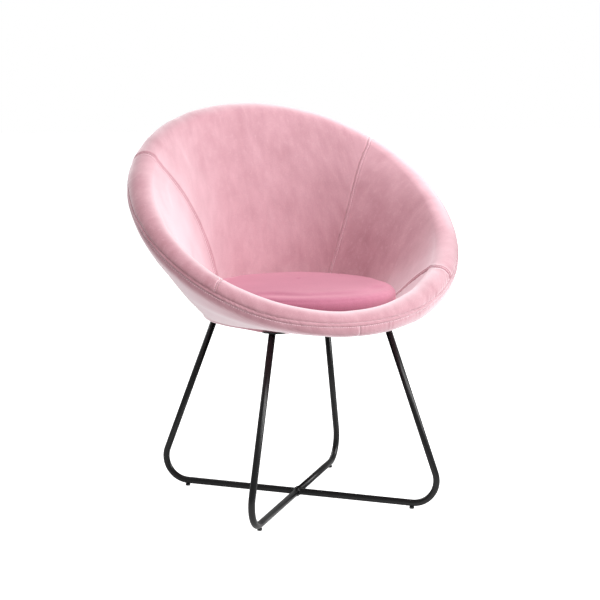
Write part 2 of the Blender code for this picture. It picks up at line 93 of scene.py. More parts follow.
def addNode(tree, kind, settings=None, **values):
    # settings are the node's own properties; values go to its inputs, as numbers or as links
    made = tree.nodes.new("ShaderNode" + kind)
    for key, value in (settings or {}).items():
        setattr(made, key, value)
    for key, value in values.items():
        socket = made.inputs[int(key[1:]) if key[1:].isdigit() else key.replace("_", " ")]
        if isinstance(value, bpy.types.NodeSocket):
            tree.links.new(value, socket)
        else:
            socket.default_value = value
    return made


def newMaterial(name):
    made = bpy.data.materials.new(name)
    made.use_nodes = True
    made.node_tree.nodes.clear()
    return made, made.node_tree


def finishMaterial(tree, shader):
    addNode(tree, "OutputMaterial", Surface=shader.outputs[0])


def makeStudio(kit):
    world = bpy.data.worlds.new("studio")
    bpy.context.scene.world = world
    world.use_nodes = True
    tree = world.node_tree
    tree.nodes.clear()
    ray = addNode(tree, "LightPath")
    strength = addNode(tree, "MapRange", Value=ray.outputs["Is Camera Ray"],
                       To_Min=kit["skyLight"], To_Max=kit["skySeen"])
    sky = addNode(tree, "Background", Color=(1, 1, 1, 1), Strength=strength.outputs[0])
    addNode(tree, "OutputWorld", Surface=sky.outputs[0])
    for name, (place, aim, size, watts) in kit["lamps"].items():
        data = bpy.data.lights.new(name, "AREA")
        data.shape, data.size, data.size_y, data.energy = "RECTANGLE", size[0], size[1], watts
        lamp = bpy.data.objects.new(name, data)
        bpy.context.scene.collection.objects.link(lamp)
        lamp.location = place
        lamp.rotation_euler = (Vector(aim) - Vector(place)).to_track_quat("-Z", "Y").to_euler()
    half = kit["floorSize"] / 2
    mesh = bpy.data.meshes.new("floor")
    corners = [(-half, -half, kit["floorZ"]), (half, -half, kit["floorZ"]), (half, half, kit["floorZ"]),
               (-half, half, kit["floorZ"])]
    mesh.from_pydata(corners, [], [(0, 1, 2, 3)])
    floor = bpy.data.objects.new("floor", mesh)
    bpy.context.scene.collection.objects.link(floor)
    paint, tree = newMaterial("pale_floor_paint")   # matt emulsion, lit evenly as a studio sweep is
    coat = addNode(tree, "BsdfDiffuse", Color=linear(kit["floorPaint"]))
    strength = addNode(tree, "MapRange", Value=addNode(tree, "LightPath").outputs["Is Camera Ray"],
                       To_Min=kit["floorLight"], To_Max=kit["floorSeen"])
    glow = addNode(tree, "Emission", Color=(1, 1, 1, 1), Strength=strength.outputs[0])
    finishMaterial(tree, addNode(tree, "AddShader", i0=coat.outputs[0], i1=glow.outputs[0]))
    mesh.materials.append(paint)


bpy.context.scene.view_settings.view_transform = "Standard"
makeCamera(cameraView)
makeStudio(studio)
print("camera, lamps and floor are set")


# Materials
def makeVelvet(name, look):
    # The cloth's "nap" attribute says how far the pile was brushed upright there, from -1 to 1, and also
    # carries painted highlight (paler) and painted shade (darker) laid on parts of the shell and cushion.
    # Short-pile polyester velvet: the pile stands off the cloth, so it is dark seen square on and glows at a
    # glancing angle; that glow is the Principled sheen plus a painted sheen, a pale colour mixed into the
    # base colour by Layer Weight. Where the pile leans another way it shows soft streaks and scuffs.
    velvet, tree = newMaterial(name)
    cloth = addNode(tree, "UVMap", {"uv_map": "cloth"}).outputs[0]
    noise = {}       # soft noises over the cloth, each of its own size in mm, with detail and roughness
    for key, detail, rough in (("streak", 3.0, 0.5), ("patch", 2.0, 0.5), ("scuff", 2.0, 0.6),
                               ("fibre", 1.0, 0.5)):
        across, along = look[key + "Mm"]
        flat = addNode(tree, "Mapping", Vector=cloth, Scale=(1000 / across, 1000 / along, 1.0))
        noise[key] = addNode(tree, "TexNoise", {"noise_dimensions": "2D"}, Vector=flat.outputs[0], Scale=1.0,
                             Detail=detail, Roughness=rough).outputs[0]
    nap = addNode(tree, "Math", {"operation": "ADD"}, i0=noise["streak"], i1=noise["patch"])
    # the nap attribute, partly the pile's lean and partly painted highlight and painted shade, moves the
    # tone from leaning to standing
    brushed = addNode(tree, "Attribute", {"attribute_name": "nap"}).outputs["Fac"]
    nap = addNode(tree, "MapRange", Value=nap.outputs[0], From_Min=-0.6, From_Max=2.6)
    nap = addNode(tree, "Math", {"operation": "MULTIPLY_ADD", "use_clamp": True}, i0=brushed,
                  i1=look["brushingAndPaintedLight"], i2=nap.outputs[0])
    speck = addNode(tree, "MapRange", Value=noise["scuff"], From_Min=0.56, From_Max=0.80,
                    To_Max=look["scuff"])
    grain = addNode(tree, "MapRange", Value=noise["fibre"], From_Min=0.25, From_Max=0.75,
                    To_Min=-look["grain"], To_Max=look["grain"])
    pile = addNode(tree, "Mix", {"data_type": "RGBA"}, i0=nap.outputs[0],
                   i6=linear(look["leaning"]), i7=linear(look["standing"]))
    pile = addNode(tree, "Mix", {"data_type": "RGBA"}, i0=speck.outputs[0], i6=pile.outputs[2],
                   i7=linear(look["brushed"]))
    bright = addNode(tree, "Math", {"operation": "ADD"}, i0=1.0, i1=grain.outputs[0])
    pile = addNode(tree, "HueSaturation", Color=pile.outputs[2], Value=bright.outputs[0])
    # painted sheen: a pale colour mixed into the base colour where the surface is seen at a grazing angle,
    # more where the nap attribute is high
    paintedSheen = addNode(tree, "LayerWeight", Blend=look["paintedSheenBlend"])
    paintedSheen = addNode(tree, "MapRange", {"interpolation_type": "SMOOTHSTEP"}, Value=paintedSheen.outputs["Facing"],
                     From_Min=look["paintedSheenFrom"], From_Max=look["paintedSheenTo"], To_Max=look["paintedSheen"])
    upright = addNode(tree, "Math", {"operation": "MULTIPLY_ADD", "use_clamp": True}, i0=brushed,
                      i1=look["uprightPaintedSheen"], i2=look["plainPaintedSheen"])
    paintedSheen = addNode(tree, "Math", {"operation": "MULTIPLY"}, i0=paintedSheen.outputs[0], i1=upright.outputs[0])
    pile = addNode(tree, "Mix", {"data_type": "RGBA"}, i0=paintedSheen.outputs[0], i6=pile.outputs[0],
                   i7=linear(look["glow"]))
    height = addNode(tree, "Math", {"operation": "MULTIPLY_ADD"}, i0=nap.outputs[0], i1=look["napRise"],
                     i2=noise["fibre"])
    height = addNode(tree, "Math", {"operation": "MULTIPLY_ADD"}, i0=speck.outputs[0], i1=-1.0,
                     i2=height.outputs[0])
    bump = addNode(tree, "Bump", Height=height.outputs[0], Strength=look["bump"], Distance=0.4 * mm)
    shader = addNode(tree, "BsdfPrincipled", Base_Color=pile.outputs[2], Normal=bump.outputs[0],
                     Roughness=0.9, IOR=1.5, Specular_IOR_Level=0.15, Sheen_Weight=look["sheen"],
                     Sheen_Roughness=look["sheenRoughness"], Sheen_Tint=linear(look["sheenTint"]))
    finishMaterial(tree, shader)
    return velvet


# glow is the colour of the painted sheen, mixed into the base colour at grazing angles
velvetLook = {
    "leaning": "A56D78", "standing": "DCADB7", "brushed": "E6C0C9", "glow": "FBE6EC",
    "streakMm": (16, 42), "patchMm": (45, 60), "scuffMm": (7, 12), "fibreMm": (1.6, 2.4),
    "brushingAndPaintedLight": 0.45, "scuff": 0.16, "grain": 0.06, "napRise": 1.2, "bump": 0.3,
    "paintedSheenBlend": 0.5, "paintedSheenFrom": 0.18, "paintedSheenTo": 0.95, "paintedSheen": 0.9,
    "plainPaintedSheen": 0.85, "uprightPaintedSheen": 0.7,        # share of the painted sheen in the base colour, and how much the nap attribute adds to it
    "sheen": 1.0, "sheenRoughness": 0.5, "sheenTint": "FFF2F5",
}
# the cushion's painted sheen is pinker and weaker than the shell's
cushionLook = dict(velvetLook, leaning="A25E74", standing="B87188", brushed="C58499", glow="E3A3B5",
                   paintedSheen=0.5, brushingAndPaintedLight=0.35, streakMm=(80, 60), patchMm=(90, 60), sheen=0.45,
                   sheenTint="FFD3DE")


def makeFinish(name, look):
    # patterns lie on Object coordinates, as (texture, size along x, y and z in mm, detail): "broad" sets
    # the tone and the roughness, and "fine", or else the same pattern, the bump and its depth in mm
    finish, tree = newMaterial(name)
    place = addNode(tree, "TexCoord").outputs["Object"]
    fields = []
    for kind, size, detail in (look["broad"], look.get("fine", look["broad"])):
        scaled = addNode(tree, "Mapping", Vector=place, Scale=[1 / (a * mm) for a in size])
        fields.append(addNode(tree, kind, Vector=scaled.outputs[0], Scale=1.0, Detail=detail).outputs[0])
    dark, pale = look["tones"]
    tone = addNode(tree, "Mix", {"data_type": "RGBA"}, i0=fields[0], i6=linear(dark), i7=linear(pale))
    values = dict(look["shader"], Base_Color=tone.outputs[2])
    if "rough" in look:
        low, high = look["rough"]
        values["Roughness"] = addNode(tree, "MapRange", Value=fields[0], To_Min=low, To_Max=high).outputs[0]
    if "bump" in look:
        strength, depth = look["bump"]
        values["Normal"] = addNode(tree, "Bump", Height=fields[1], Strength=strength,
                                   Distance=depth * mm).outputs[0]
    finishMaterial(tree, addNode(tree, "BsdfPrincipled", **values))
    return finish


finishLooks = {
    # twisted yarn, a little glossier and paler than the pile round it
    "polyester_thread": {"broad": ("TexNoise", (0.5, 0.5, 0.5), 1.0), "tones": ("DDAAB6", "F8E2E8"),
                         "bump": (0.4, 0.1), "shader": {"Roughness": 0.55, "Sheen_Weight": 0.3}},
    # baked paint on steel rod with a faint orange peel
    "satin_powder_coat": {"broad": ("TexNoise", (40, 40, 40), 3.0),
                          "fine": ("TexNoise", (1.5, 1.5, 1.5), 1.0),
                          "tones": ("0A0A0B", "121213"), "rough": (0.26, 0.36), "bump": (0.25, 0.05),
                          "shader": {"IOR": 1.5, "Specular_IOR_Level": 0.4}},
    # thin bright plating on steel with dull smears
    "zinc_plating": {"broad": ("TexNoise", (3, 3, 3), 3.0), "tones": ("A9ABAE", "CFD1D4"),
                     "rough": (0.22, 0.42), "shader": {"Metallic": 1.0}},
    # dull black plastic with a light spark-eroded grain
    "moulded_polypropylene": {"broad": ("TexNoise", (0.6, 0.6, 0.6), 1.0), "tones": ("121213", "1D1D1E"),
                              "bump": (0.3, 0.05), "shader": {"Roughness": 0.5, "IOR": 1.49}},
    # open cells of about 1 mm, cream going yellow
    "cut_polyurethane_foam": {"broad": ("TexVoronoi", (1.2, 1.2, 1.2), 0.0), "tones": ("CDBE8E", "EFE6C4"),
                              "bump": (0.5, 0.3), "shader": {"Roughness": 0.95}},
    # rotary-cut veneer, sanded and bare: long pale grain
    "bare_birch_plywood": {"broad": ("TexNoise", (3, 60, 3), 4.0), "tones": ("B08A5B", "DCC096"),
                           "bump": (0.2, 0.1), "shader": {"Roughness": 0.65}},
}


def makeNonWoven():
    # Spun-bonded polypropylene dust cloth: matted threads pressed in small diamonds, 2 mm apart
    felt, tree = newMaterial("spun_bonded_cloth")
    place = addNode(tree, "TexCoord").outputs["Object"]
    tilted = addNode(tree, "Mapping", Vector=place, Rotation=(0, 0, pi / 4), Scale=[1 / (2 * mm)] * 3)
    dots = addNode(tree, "TexVoronoi", {"distance": "CHEBYCHEV"}, Vector=tilted.outputs[0], Scale=1.0,
                   Randomness=0.0)
    fluff = addNode(tree, "TexNoise", Vector=place, Scale=1 / (0.8 * mm), Detail=3.0)
    mixed = addNode(tree, "Math", {"operation": "MULTIPLY"}, i0=dots.outputs["Distance"],
                    i1=fluff.outputs[0])
    tone = addNode(tree, "Mix", {"data_type": "RGBA"}, i0=mixed.outputs[0], i6=linear("111112"),
                   i7=linear("3A3A3C"))
    bump = addNode(tree, "Bump", Height=mixed.outputs[0], Strength=0.6, Distance=0.2 * mm)
    finishMaterial(tree, addNode(tree, "BsdfPrincipled", Base_Color=tone.outputs[2], Roughness=0.85,
                                 Normal=bump.outputs[0]))
    return felt


velvet = makeVelvet("short_pile_velvet", velvetLook)
cushionVelvet = makeVelvet("cushion_velvet", cushionLook)
thread, powderCoat, zinc, plastic, foam, plywood = [makeFinish(*item) for item in finishLooks.items()]
nonWoven = makeNonWoven()
print("materials are made")


# Meshes from grids
def gridQuads(rows, cols, first=0, wrap=False, flip=False):
    # quads of a grid whose point (i, j) is number first + i * cols + j
    i, j = np.meshgrid(np.arange(rows if wrap else rows - 1), np.arange(cols - 1), indexing="ij")
    n = (i + 1) % rows
    quads = np.stack([i * cols + j, n * cols + j, n * cols + j + 1, i * cols + j + 1], -1).reshape(-1, 4)
    return first + (quads[:, ::-1] if flip else quads)


def outwards(piece):
    # turns every face of a closed mesh outwards
    mesh = bmesh.new()
    mesh.from_mesh(piece.data)
    bmesh.ops.recalc_face_normals(mesh, faces=mesh.faces)
    mesh.to_mesh(piece.data)
    mesh.free()
    return piece


def loopQuads(rows, cols, wrap=False):
    # quads of a grid whose columns close on themselves
    i, j = np.divmod(gridQuads(rows, cols + 1, 0, wrap), cols + 1)
    return i % rows * cols + j % cols


def makePiece(name, points, faces, material, body, slot, uv=None, replaced=(), nap=None):
    # faces is a list of face arrays or lists; uv holds metres over the cloth, one pair for each point,
    # and nap the pile's lean there, with painted highlight and painted shade mixed in
    mesh = bpy.data.meshes.new(name)
    mesh.from_pydata(np.asarray(points, float).reshape(-1, 3).tolist(), [],
                     [f for part in faces for f in np.asarray(part).tolist()])
    if uv is not None:
        corner = np.zeros(len(mesh.loops), int)
        mesh.loops.foreach_get("vertex_index", corner)
        layer = mesh.uv_layers.new(name="cloth")
        layer.uv.foreach_set("vector", np.asarray(uv, np.float32).reshape(-1, 2)[corner].ravel())
    if nap is not None:
        leaning = mesh.attributes.new("nap", "FLOAT", "POINT")
        leaning.data.foreach_set("value", np.asarray(nap, np.float32).ravel())
    mesh.shade_smooth()
    mesh.materials.append(material)
    piece = bpy.data.objects.new(name, mesh)
    bpy.context.scene.collection.objects.link(piece)
    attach(piece, body)
    if replaced:
        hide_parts(*replaced)
    return piece


def closedCloth(name, face, back, grid, material, slot, wrap=False, body="chair", replaced=()):
    # cloth of real thickness: the face grid, the back grid turned over, and strips round the edges
    rows, cols = face.shape[:2]
    count = rows * cols
    faces = [gridQuads(rows, cols, 0, wrap), gridQuads(rows, cols, count, wrap, flip=True)]
    i = np.arange(rows if wrap else rows - 1)
    n = (i + 1) % rows
    for j, flipped in ((0, False), (cols - 1, True)):
        strip = np.stack([n * cols + j, i * cols + j, count + i * cols + j, count + n * cols + j], -1)
        faces.append(strip[:, ::-1] if flipped else strip)
    if not wrap:
        j = np.arange(cols - 1)
        for k, flipped in ((0, False), (rows - 1, True)):
            a = k * cols + j
            strip = np.stack([a, a + 1, count + a + 1, count + a], -1)
            faces.append(strip[:, ::-1] if flipped else strip)
    points = np.concatenate([face.reshape(-1, 3), back.reshape(-1, 3)])
    uv, nap = np.tile(grid.uv.reshape(-1, 2), (2, 1)), np.tile(pileLeanAndPaintedLight(grid.t, grid.s).ravel(), 2)
    return makePiece(name, points, faces, material, body, slot, uv, replaced, nap)


def ripple(u, v, length, seed, waves=16):
    # soft random field of unit spread: a mean of sines with random directions, all near one length
    draw = np.random.default_rng(seed)
    turn, start = draw.uniform(0, 2 * pi, waves), draw.uniform(0, 2 * pi, waves)
    size = length * draw.uniform(0.7, 1.5, waves)
    total = 0 * u + 0 * v
    for a, p, w in zip(turn, start, size):
        total = total + np.sin(2 * pi * (u * np.cos(a) + v * np.sin(a)) / w + p)
    return total / np.sqrt(waves / 2)


def hump(x, middle, width):
    # a bell: e to minus the square of the distance in widths
    return np.exp(-((x - middle) / width)**2)


def roundHump(t, middle, width):
    # the same bell round the seat, where t comes back on itself after a full turn
    return hump((t - middle + pi) % (2 * pi) - pi, 0, width)


# The shell's surface
seatMid = (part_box("dust_cover")[0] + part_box("dust_cover")[1]) / 2    # the middle of the round foot
shell = {
    "rimHalf": (0.330, 0.240), "rimMidY": seatMid.y + 0.010,       # centre line of the rolled rim
    "rimFrontZ": 0.400, "rimArmZ": 0.597, "rimBackZ": 0.787,
    "rollRadius": 0.0275, "lean": (18.0, 47.0, 16.0),                # degrees at front, arm and back
    "panHalf": (0.1995, 0.189), "baseZ": 0.3845, "panRise": 0.009, "lipWidth": 0.018,
    "deckInset": 0.024, "deckZ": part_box("deck_cover")[1].z,
    "outerBulge": 0.27, "outerPull": 0.23, "innerBulge": 0.20, "innerPull": 0.35, "innerReach": 0.050,
    "seamWarp": 0.66, "fanning": 1.5, "cloth": 1.6 * mm,
    "edgeTip": (12.0, 22.0), "riseFront": 0.17,      # the foot's edge leans out; its share of rise in front
}


def pair(a, b):
    return np.stack(np.broadcast_arrays(a, b), -1)


def bezier(p0, p1, p2, p3, u):
    # cubic: v^3 p0 + 3 u v^2 p1 + 3 u^2 v p2 + u^3 p3, with v = 1 - u
    u = u[..., None]
    v = 1.0 - u
    return v**3 * p0 + 3 * u * v**2 * p1 + 3 * u**2 * v * p2 + u**3 * p3


def footLine(t):
    # the foot's outline and the way from it to the rim, in plan; t is fanned so that sections stand square
    wide, deep = shell["panHalf"]
    square = (shell["rimHalf"][0] / shell["rimHalf"][1])**shell["fanning"]
    turn = np.arctan2(square * np.sin(t), np.cos(t))
    foot = pair(wide * np.sin(turn), seatMid.y - deep * np.cos(turn))
    rim = pair(shell["rimHalf"][0] * np.sin(t), shell["rimMidY"] - shell["rimHalf"][1] * np.cos(t))
    run = rim - foot
    reach = np.linalg.norm(run, axis=-1)
    return foot, run / reach[..., None], reach


def section(t, s):
    # (distance outside the foot, height): under the lip, outer wall, roll, inner wall, joined smoothly
    reach = footLine(t)[2]
    k = (1 - np.cos(t)) / 2
    front, arm, back = shell["rimFrontZ"], shell["rimArmZ"], shell["rimBackZ"]
    mean = (front + back) / 4 + arm / 2
    rimZ = mean - (back - front) / 2 * np.cos(t) + (mean - arm) * np.cos(2 * t)
    a, b, c = shell["lean"]
    lean = np.radians(a * (1 - k)**2 + b * 2 * k * (1 - k) + c * k**2)
    up, out = pair(np.sin(lean), np.cos(lean)), pair(np.cos(lean), -np.sin(lean))
    centre = pair(reach, rimZ)
    outerEnd, innerEnd = centre + out * shell["rollRadius"], centre - out * shell["rollRadius"]
    rise, base = shell["panRise"], shell["baseZ"]
    edge = pair(0 * t, base + rise * (1 - (1 - shell["riseFront"]) * (1 - k)**2))
    chord = outerEnd - edge
    length = np.linalg.norm(chord, axis=-1)[..., None]
    tipFront, tipBack = shell["edgeTip"]
    tip = np.arctan2(chord[..., 0], chord[..., 1]) + np.radians(tipFront + tipBack * k**4)
    edgeDir = pair(np.sin(tip), np.cos(tip))
    under = bezier(pair(0 * t - shell["lipWidth"], base + 0 * t), pair(0 * t - 0.4 * rise, base + 0 * t),
                   edge - edgeDir * 0.6 * rise, edge, np.clip(s, 0, 1))
    wall = bezier(edge, edge + edgeDir * length * shell["outerBulge"],
                  outerEnd - up * length * shell["outerPull"], outerEnd, np.clip(s - 1, 0, 1))
    turn = (np.clip(s - 2, 0, 1) * pi)[..., None]
    roll = centre + shell["rollRadius"] * (np.cos(turn) * out + np.sin(turn) * up)
    deck = pair(0 * t - shell["deckInset"], shell["deckZ"] + 0 * t)
    fall = np.linalg.norm(innerEnd - deck, axis=-1)[..., None]
    turnUp = deck + np.array([1.0, 0.0]) * np.minimum(fall * shell["innerBulge"], shell["innerReach"])
    inside = bezier(innerEnd, innerEnd - up * fall * shell["innerPull"], turnUp, deck, np.clip(s - 3, 0, 1))
    s = s[..., None]
    return np.where(s <= 1, under, np.where(s <= 2, wall, np.where(s <= 3, roll, inside)))


def warped(t, down):
    # the inner wall's stations swing towards the back on their way down to the deck
    return t + shell["seamWarp"] * np.sin(t) * ((1 - np.cos(t)) / 2)**1.5 * down


def onShell(t, s):
    # the surface: foot + run * w in plan, and z, where (w, z) is the section's point
    t = warped(t, np.clip(s - 3, 0, 1))
    foot, run, _ = footLine(t)
    wz = section(t, s)
    return np.concatenate([foot + run * wz[..., :1], wz[..., 1:]], -1)


def facing(t, s):
    # unit normal out of the cloth: the cross product of the surface's two directions
    step = 1e-3
    low, high = np.clip(s - step, 0, 4), np.clip(s + step, 0, 4)
    n = np.cross(onShell(t + step, s) - onShell(t - step, s), onShell(t, high) - onShell(t, low))
    return n / np.linalg.norm(n, axis=-1)[..., None]


def rollAt(degrees):
    return 2 + degrees / 180


def lengths(points, axis):
    # distance run along that side of a grid, starting at 0
    step = np.linalg.norm(np.diff(points, axis=axis), axis=-1)
    pad = [(1, 0), (0, 0)] if axis == 0 else [(0, 0), (1, 0)]
    return np.pad(np.cumsum(step, axis), pad)


def clothGrid(t, s):
    # a stretch of the shell's surface between stations, with distances to its edges in metres
    s = wandering(t, s)
    base = onShell(t, s)
    across, along = lengths(base, 0), lengths(base, 1)
    return SimpleNamespace(t=t, s=s, base=base, normal=facing(t, s), fromStart=across,
                           toEnd=across[-1:] - across, fromLow=along, toHigh=along[:, -1:] - along,
                           uv=np.stack([across - across[-1:] / 2, along], -1))


def lifted(grid, height):
    return grid.base + grid.normal * np.asarray(height)[..., None]


def crowded(a, b, count, crowd=0.75):
    # stations from a to b that crowd towards both ends: x - crowd sin(2 pi x) / (2 pi)
    x = np.linspace(0, 1, count)
    return a + (b - a) * (x - crowd * np.sin(2 * pi * x) / (2 * pi))


# The seams and the cloth round them
weltLine = {"low": 28.5, "high": 44.5, "proud": 0.7 * mm}       # degrees up the roll's outer side
seamPath = {      # degrees round the seat at the rim and at the deck, and where the change starts and ends
    "backLeft": (-119.5, -144.0, 3.0, 3.67), "frontLeft": (-47.5, -60.0, 2.6, 3.6),
    "frontRight": (47.0, 61.0, 2.6, 3.6), "backRight": (128.5, 131.5, 3.3, 3.8),
}
seams = {
    "dip": 1.45 * mm, "dipWidth": 2.6 * mm,          # the groove at every sewn seam
    "rowAt": 5.0 * mm, "rowDip": 1.0 * mm, "rowWidth": 1.3 * mm,   # the top-stitched row beside it
    "ridge": 0.8 * mm,                                             # the cloth stands up between them
    "pucker": 0.22 * mm, "puckerLength": 9 * mm, "puckerReach": 9 * mm,
    "undulation": 0.55 * mm, "undulationLength": 95 * mm, "halfGap": 0.2 * mm,
}


def seamAngle(name, s):
    # the seam's place at each height, eased from the rim's angle to the deck's: x x (3 - 2 x)
    top, low, start, stop = seamPath[name]
    x = np.clip((s - start) / (stop - start), 0, 1)
    return np.radians(top + (low - top) * x * x * (3 - 2 * x))


def wandering(t, s):
    # the rim's seam was pulled lower left of the front's middle; the stretch round it follows
    t = (t + pi) % (2 * pi) - pi
    shift = -14 * hump(t, -0.55, 0.33) - 6 * hump(t, 0.52, 0.25) + 6 * hump(t, -1.5, 0.3)
    return s + shift / 180 * hump(np.maximum(np.abs(s - rollAt(36.5)) - 0.05, 0), 0, 0.3)


# how the pile was left lying, with painted highlight (positive) and painted shade (negative) in it, as
# (amount, station and its spread, height on the surface and its spread)
pileAndPaintedLightMarks = [
    (0.60, 0.20, 0.75, 2.78, 0.22), (0.75, -0.40, 0.28, 2.72, 0.20), (0.35, 0.55, 0.40, 2.10, 0.35),
    (0.90, 1.85, 0.60, 2.78, 0.25), (0.42, pi, 1.00, 3.50, 0.55), (0.30, -1.90, 0.50, 3.20, 0.40),
    (-0.55, -1.10, 0.65, 2.25, 0.22), (-0.50, -1.60, 0.60, 2.55, 0.22), (-0.80, -2.60, 0.45, 2.50, 0.35),
    (-1.50, 1.40, 0.75, 2.22, 0.25), (-0.60, 2.00, 0.40, 3.60, 0.35), (-0.35, -1.75, 0.40, 3.10, 0.25),
]


def pileLeanAndPaintedLight(t, s):
    # brushed up along the front crest, the right rim and the back, and down over both outer faces: partly
    # the pile's lean, partly painted highlight where the crests and the back catch light and painted shade
    # where the outer faces turn from it
    lean = 0 * t
    for amount, around, width, up, reach in pileAndPaintedLightMarks:
        lean = lean + amount * roundHump(t, around, width) * hump(s, up, reach)
    return lean


def seamDip(distance):
    return -seams["dip"] * hump(distance, 0, seams["dipWidth"])


def rowDip(distance):
    # a ridge between seam and row, half as high past the row, and the row's own groove
    ridge = hump(distance, 0.5 * seams["rowAt"], 1.5 * mm)
    ridge += 0.5 * hump(distance, 1.55 * seams["rowAt"], 2 * mm)
    return seams["ridge"] * ridge - seams["rowDip"] * hump(distance, seams["rowAt"], seams["rowWidth"])


def rimPull(t):
    # the rim's seam is pulled tight left of the front and lies nearly flat elsewhere
    return 0.40 + 0.60 * roundHump(t, -1.2, 1.1)


def puckers(distance, along, seed, scale=1.0):
    # short wrinkles square to a seam, fading away from it
    wave = ripple(along, 0.25 * distance, seams["puckerLength"], seed)
    return scale * seams["pucker"] * wave * np.exp(-distance / seams["puckerReach"])


def softness(grid, seed):
    x, y, z = np.moveaxis(grid.base, -1, 0)
    return seams["undulation"] * np.tanh(ripple(x + 0.6 * y, z + 0.4 * y, seams["undulationLength"], seed))


rimFullness = [(2.4, -0.05, 0.85), (1.8, 0.36, 0.22), (4.4, 0.64, 0.24)]   # height in mm, station, spread


def frontRimWave(t, s):
    # the roll is fuller in front, most of all right of the middle, as stuffed by hand
    crest = hump(s, rollAt(118), 0.30)
    return crest * mm * sum(high * hump(t, around, width) for high, around, width in rimFullness)


def makeLining(name, first, last, count, rows, softSeam, seed):
    # rows says whether a top-stitched row runs beside the seams at both ends; softSeam scales the groove of
    # the first and of the last seam
    overRoll = crowded(rollAt(weltLine["high"] + 0.5), 3.0, 56, 0.5)
    ss = np.concatenate([overRoll, np.linspace(3.0, 4.0, 92)[1:]])
    share, s = np.meshgrid(crowded(0, 1, count), ss, indexing="ij")
    half = seams["halfGap"] / shell["rimHalf"][1]
    start, end = seamAngle(first, s) + half, seamAngle(last, s) - half
    end = np.where(end < start, end + 2 * pi, end)
    grid = clothGrid(start + (end - start) * share, s)
    height = softness(grid, seed) + frontRimWave(grid.t, grid.s)
    height += softSeam[0] * seamDip(grid.fromStart) + softSeam[1] * seamDip(grid.toEnd)
    height += 1.15 * seamDip(grid.fromLow) * rimPull(grid.t)
    height += puckers(grid.fromStart, grid.fromLow, seed + 1) + puckers(grid.toEnd, grid.fromLow, seed + 2)
    height += puckers(grid.fromLow, grid.fromStart, seed + 3, 1.2)
    if rows:
        height += rowDip(grid.fromStart) + rowDip(grid.toEnd)
    face = lifted(grid, height)
    piece = closedCloth(name + "_cloth", face, lifted(grid, height - shell["cloth"]), grid, velvet, "velvet",
                        replaced=[name])
    return grid, face


outerCover = {       # heights, then stations and spreads round the seat, then places and spreads up the wall
    "stand": 0.2 * mm, "hollow": (1.5 * mm, 1.88, 0.22),       # off the core, more where the wall hollows
    "fold": (2.2 * mm, -1.05, 0.42), "foldLine": (1.62, 0.28, 0.10),      # a slanting fold on the left
    "crease": (-1.0 * mm, -1.0, 0.4, 1.86, 0.10), "belly": (3.5 * mm, -1.25, 0.5, 1.22, 0.22),
    "tuck": (0.9 * mm, -0.80, 0.055), "tuckReach": 14 * mm, "tuckPleat": 6.5 * mm,
    "bead": 2.6 * mm, "cornerBead": 4.2 * mm, "cornerSpread": 0.20, "beadLine": (0.55, 0.26),
}


def mark(grid, amount, around, width, up, reach):
    return amount * hump(grid.t, around, width) * hump(grid.s, up, reach)


def makeOuterCover(name, t0, t1, seed, trims=()):
    ss = np.concatenate([np.linspace(0, 1, 17), np.linspace(1, 2, 62)[1:],
                         np.linspace(2, rollAt(weltLine["low"] - 0.5), 14)[1:]])
    half = seams["halfGap"] / shell["rimHalf"][1]
    t, s = np.meshgrid(crowded(t0 + half, t1 - half, 460, 0.6), ss, indexing="ij")
    grid = clothGrid(t, s)
    high, up, reach = outerCover["hollow"]
    height = softness(grid, seed) + outerCover["stand"] + high * hump(grid.s, up, reach)
    height += 0.5 * (seamDip(grid.fromStart) + seamDip(grid.toEnd))
    height += 0.7 * seamDip(grid.toHigh) * rimPull(grid.t)
    height += puckers(grid.toHigh, grid.fromStart, seed + 1, 0.7 + 1.3 * hump(grid.t, -0.75, 0.35))
    high, around, width = outerCover["fold"]
    up, slope, reach = outerCover["foldLine"]
    height += mark(grid, high, around, width, up + slope * (grid.t - around), reach)
    height += mark(grid, *outerCover["crease"]) + mark(grid, *outerCover["belly"])
    high, around, width = outerCover["tuck"]
    tuck = hump(grid.t, around, width) * np.exp(-grid.toHigh / outerCover["tuckReach"])
    height += high * tuck * np.sin(2 * pi * grid.fromStart / outerCover["tuckPleat"])
    # the turned-under edge hangs as a soft bead, fuller where it tucks round the plate's corners
    corners = sum(roundHump(grid.t, a, outerCover["cornerSpread"]) for a in plateCorners())
    bead = outerCover["bead"] + outerCover["cornerBead"] * np.clip(corners, 0, 1)
    height += bead * hump(grid.s, *outerCover["beadLine"])
    face = lifted(grid, height)
    piece = closedCloth(name + "_cloth", face, lifted(grid, height - shell["cloth"]), grid, velvet, "velvet",
                        replaced=[name])
    return grid, face


def plateCorners():
    # the stations at which the plate's four corners come nearest to the foot's outline
    t = np.linspace(-pi, pi, 721)
    foot = footLine(t)[0] - [0.0, seatMid.y]
    ways = foot / np.linalg.norm(foot, axis=1)[:, None]
    plate = (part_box("mount_plate")[1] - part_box("mount_plate")[0]) / 2
    diagonals = np.array([[x, y] for x in (-1, 1) for y in (-1, 1)]) * [plate.x, plate.y]
    diagonals[:, 1] += rodMid.y - seatMid.y
    diagonals /= np.linalg.norm(diagonals, axis=1)[:, None]
    return t[(ways @ diagonals.T).argmax(0)]


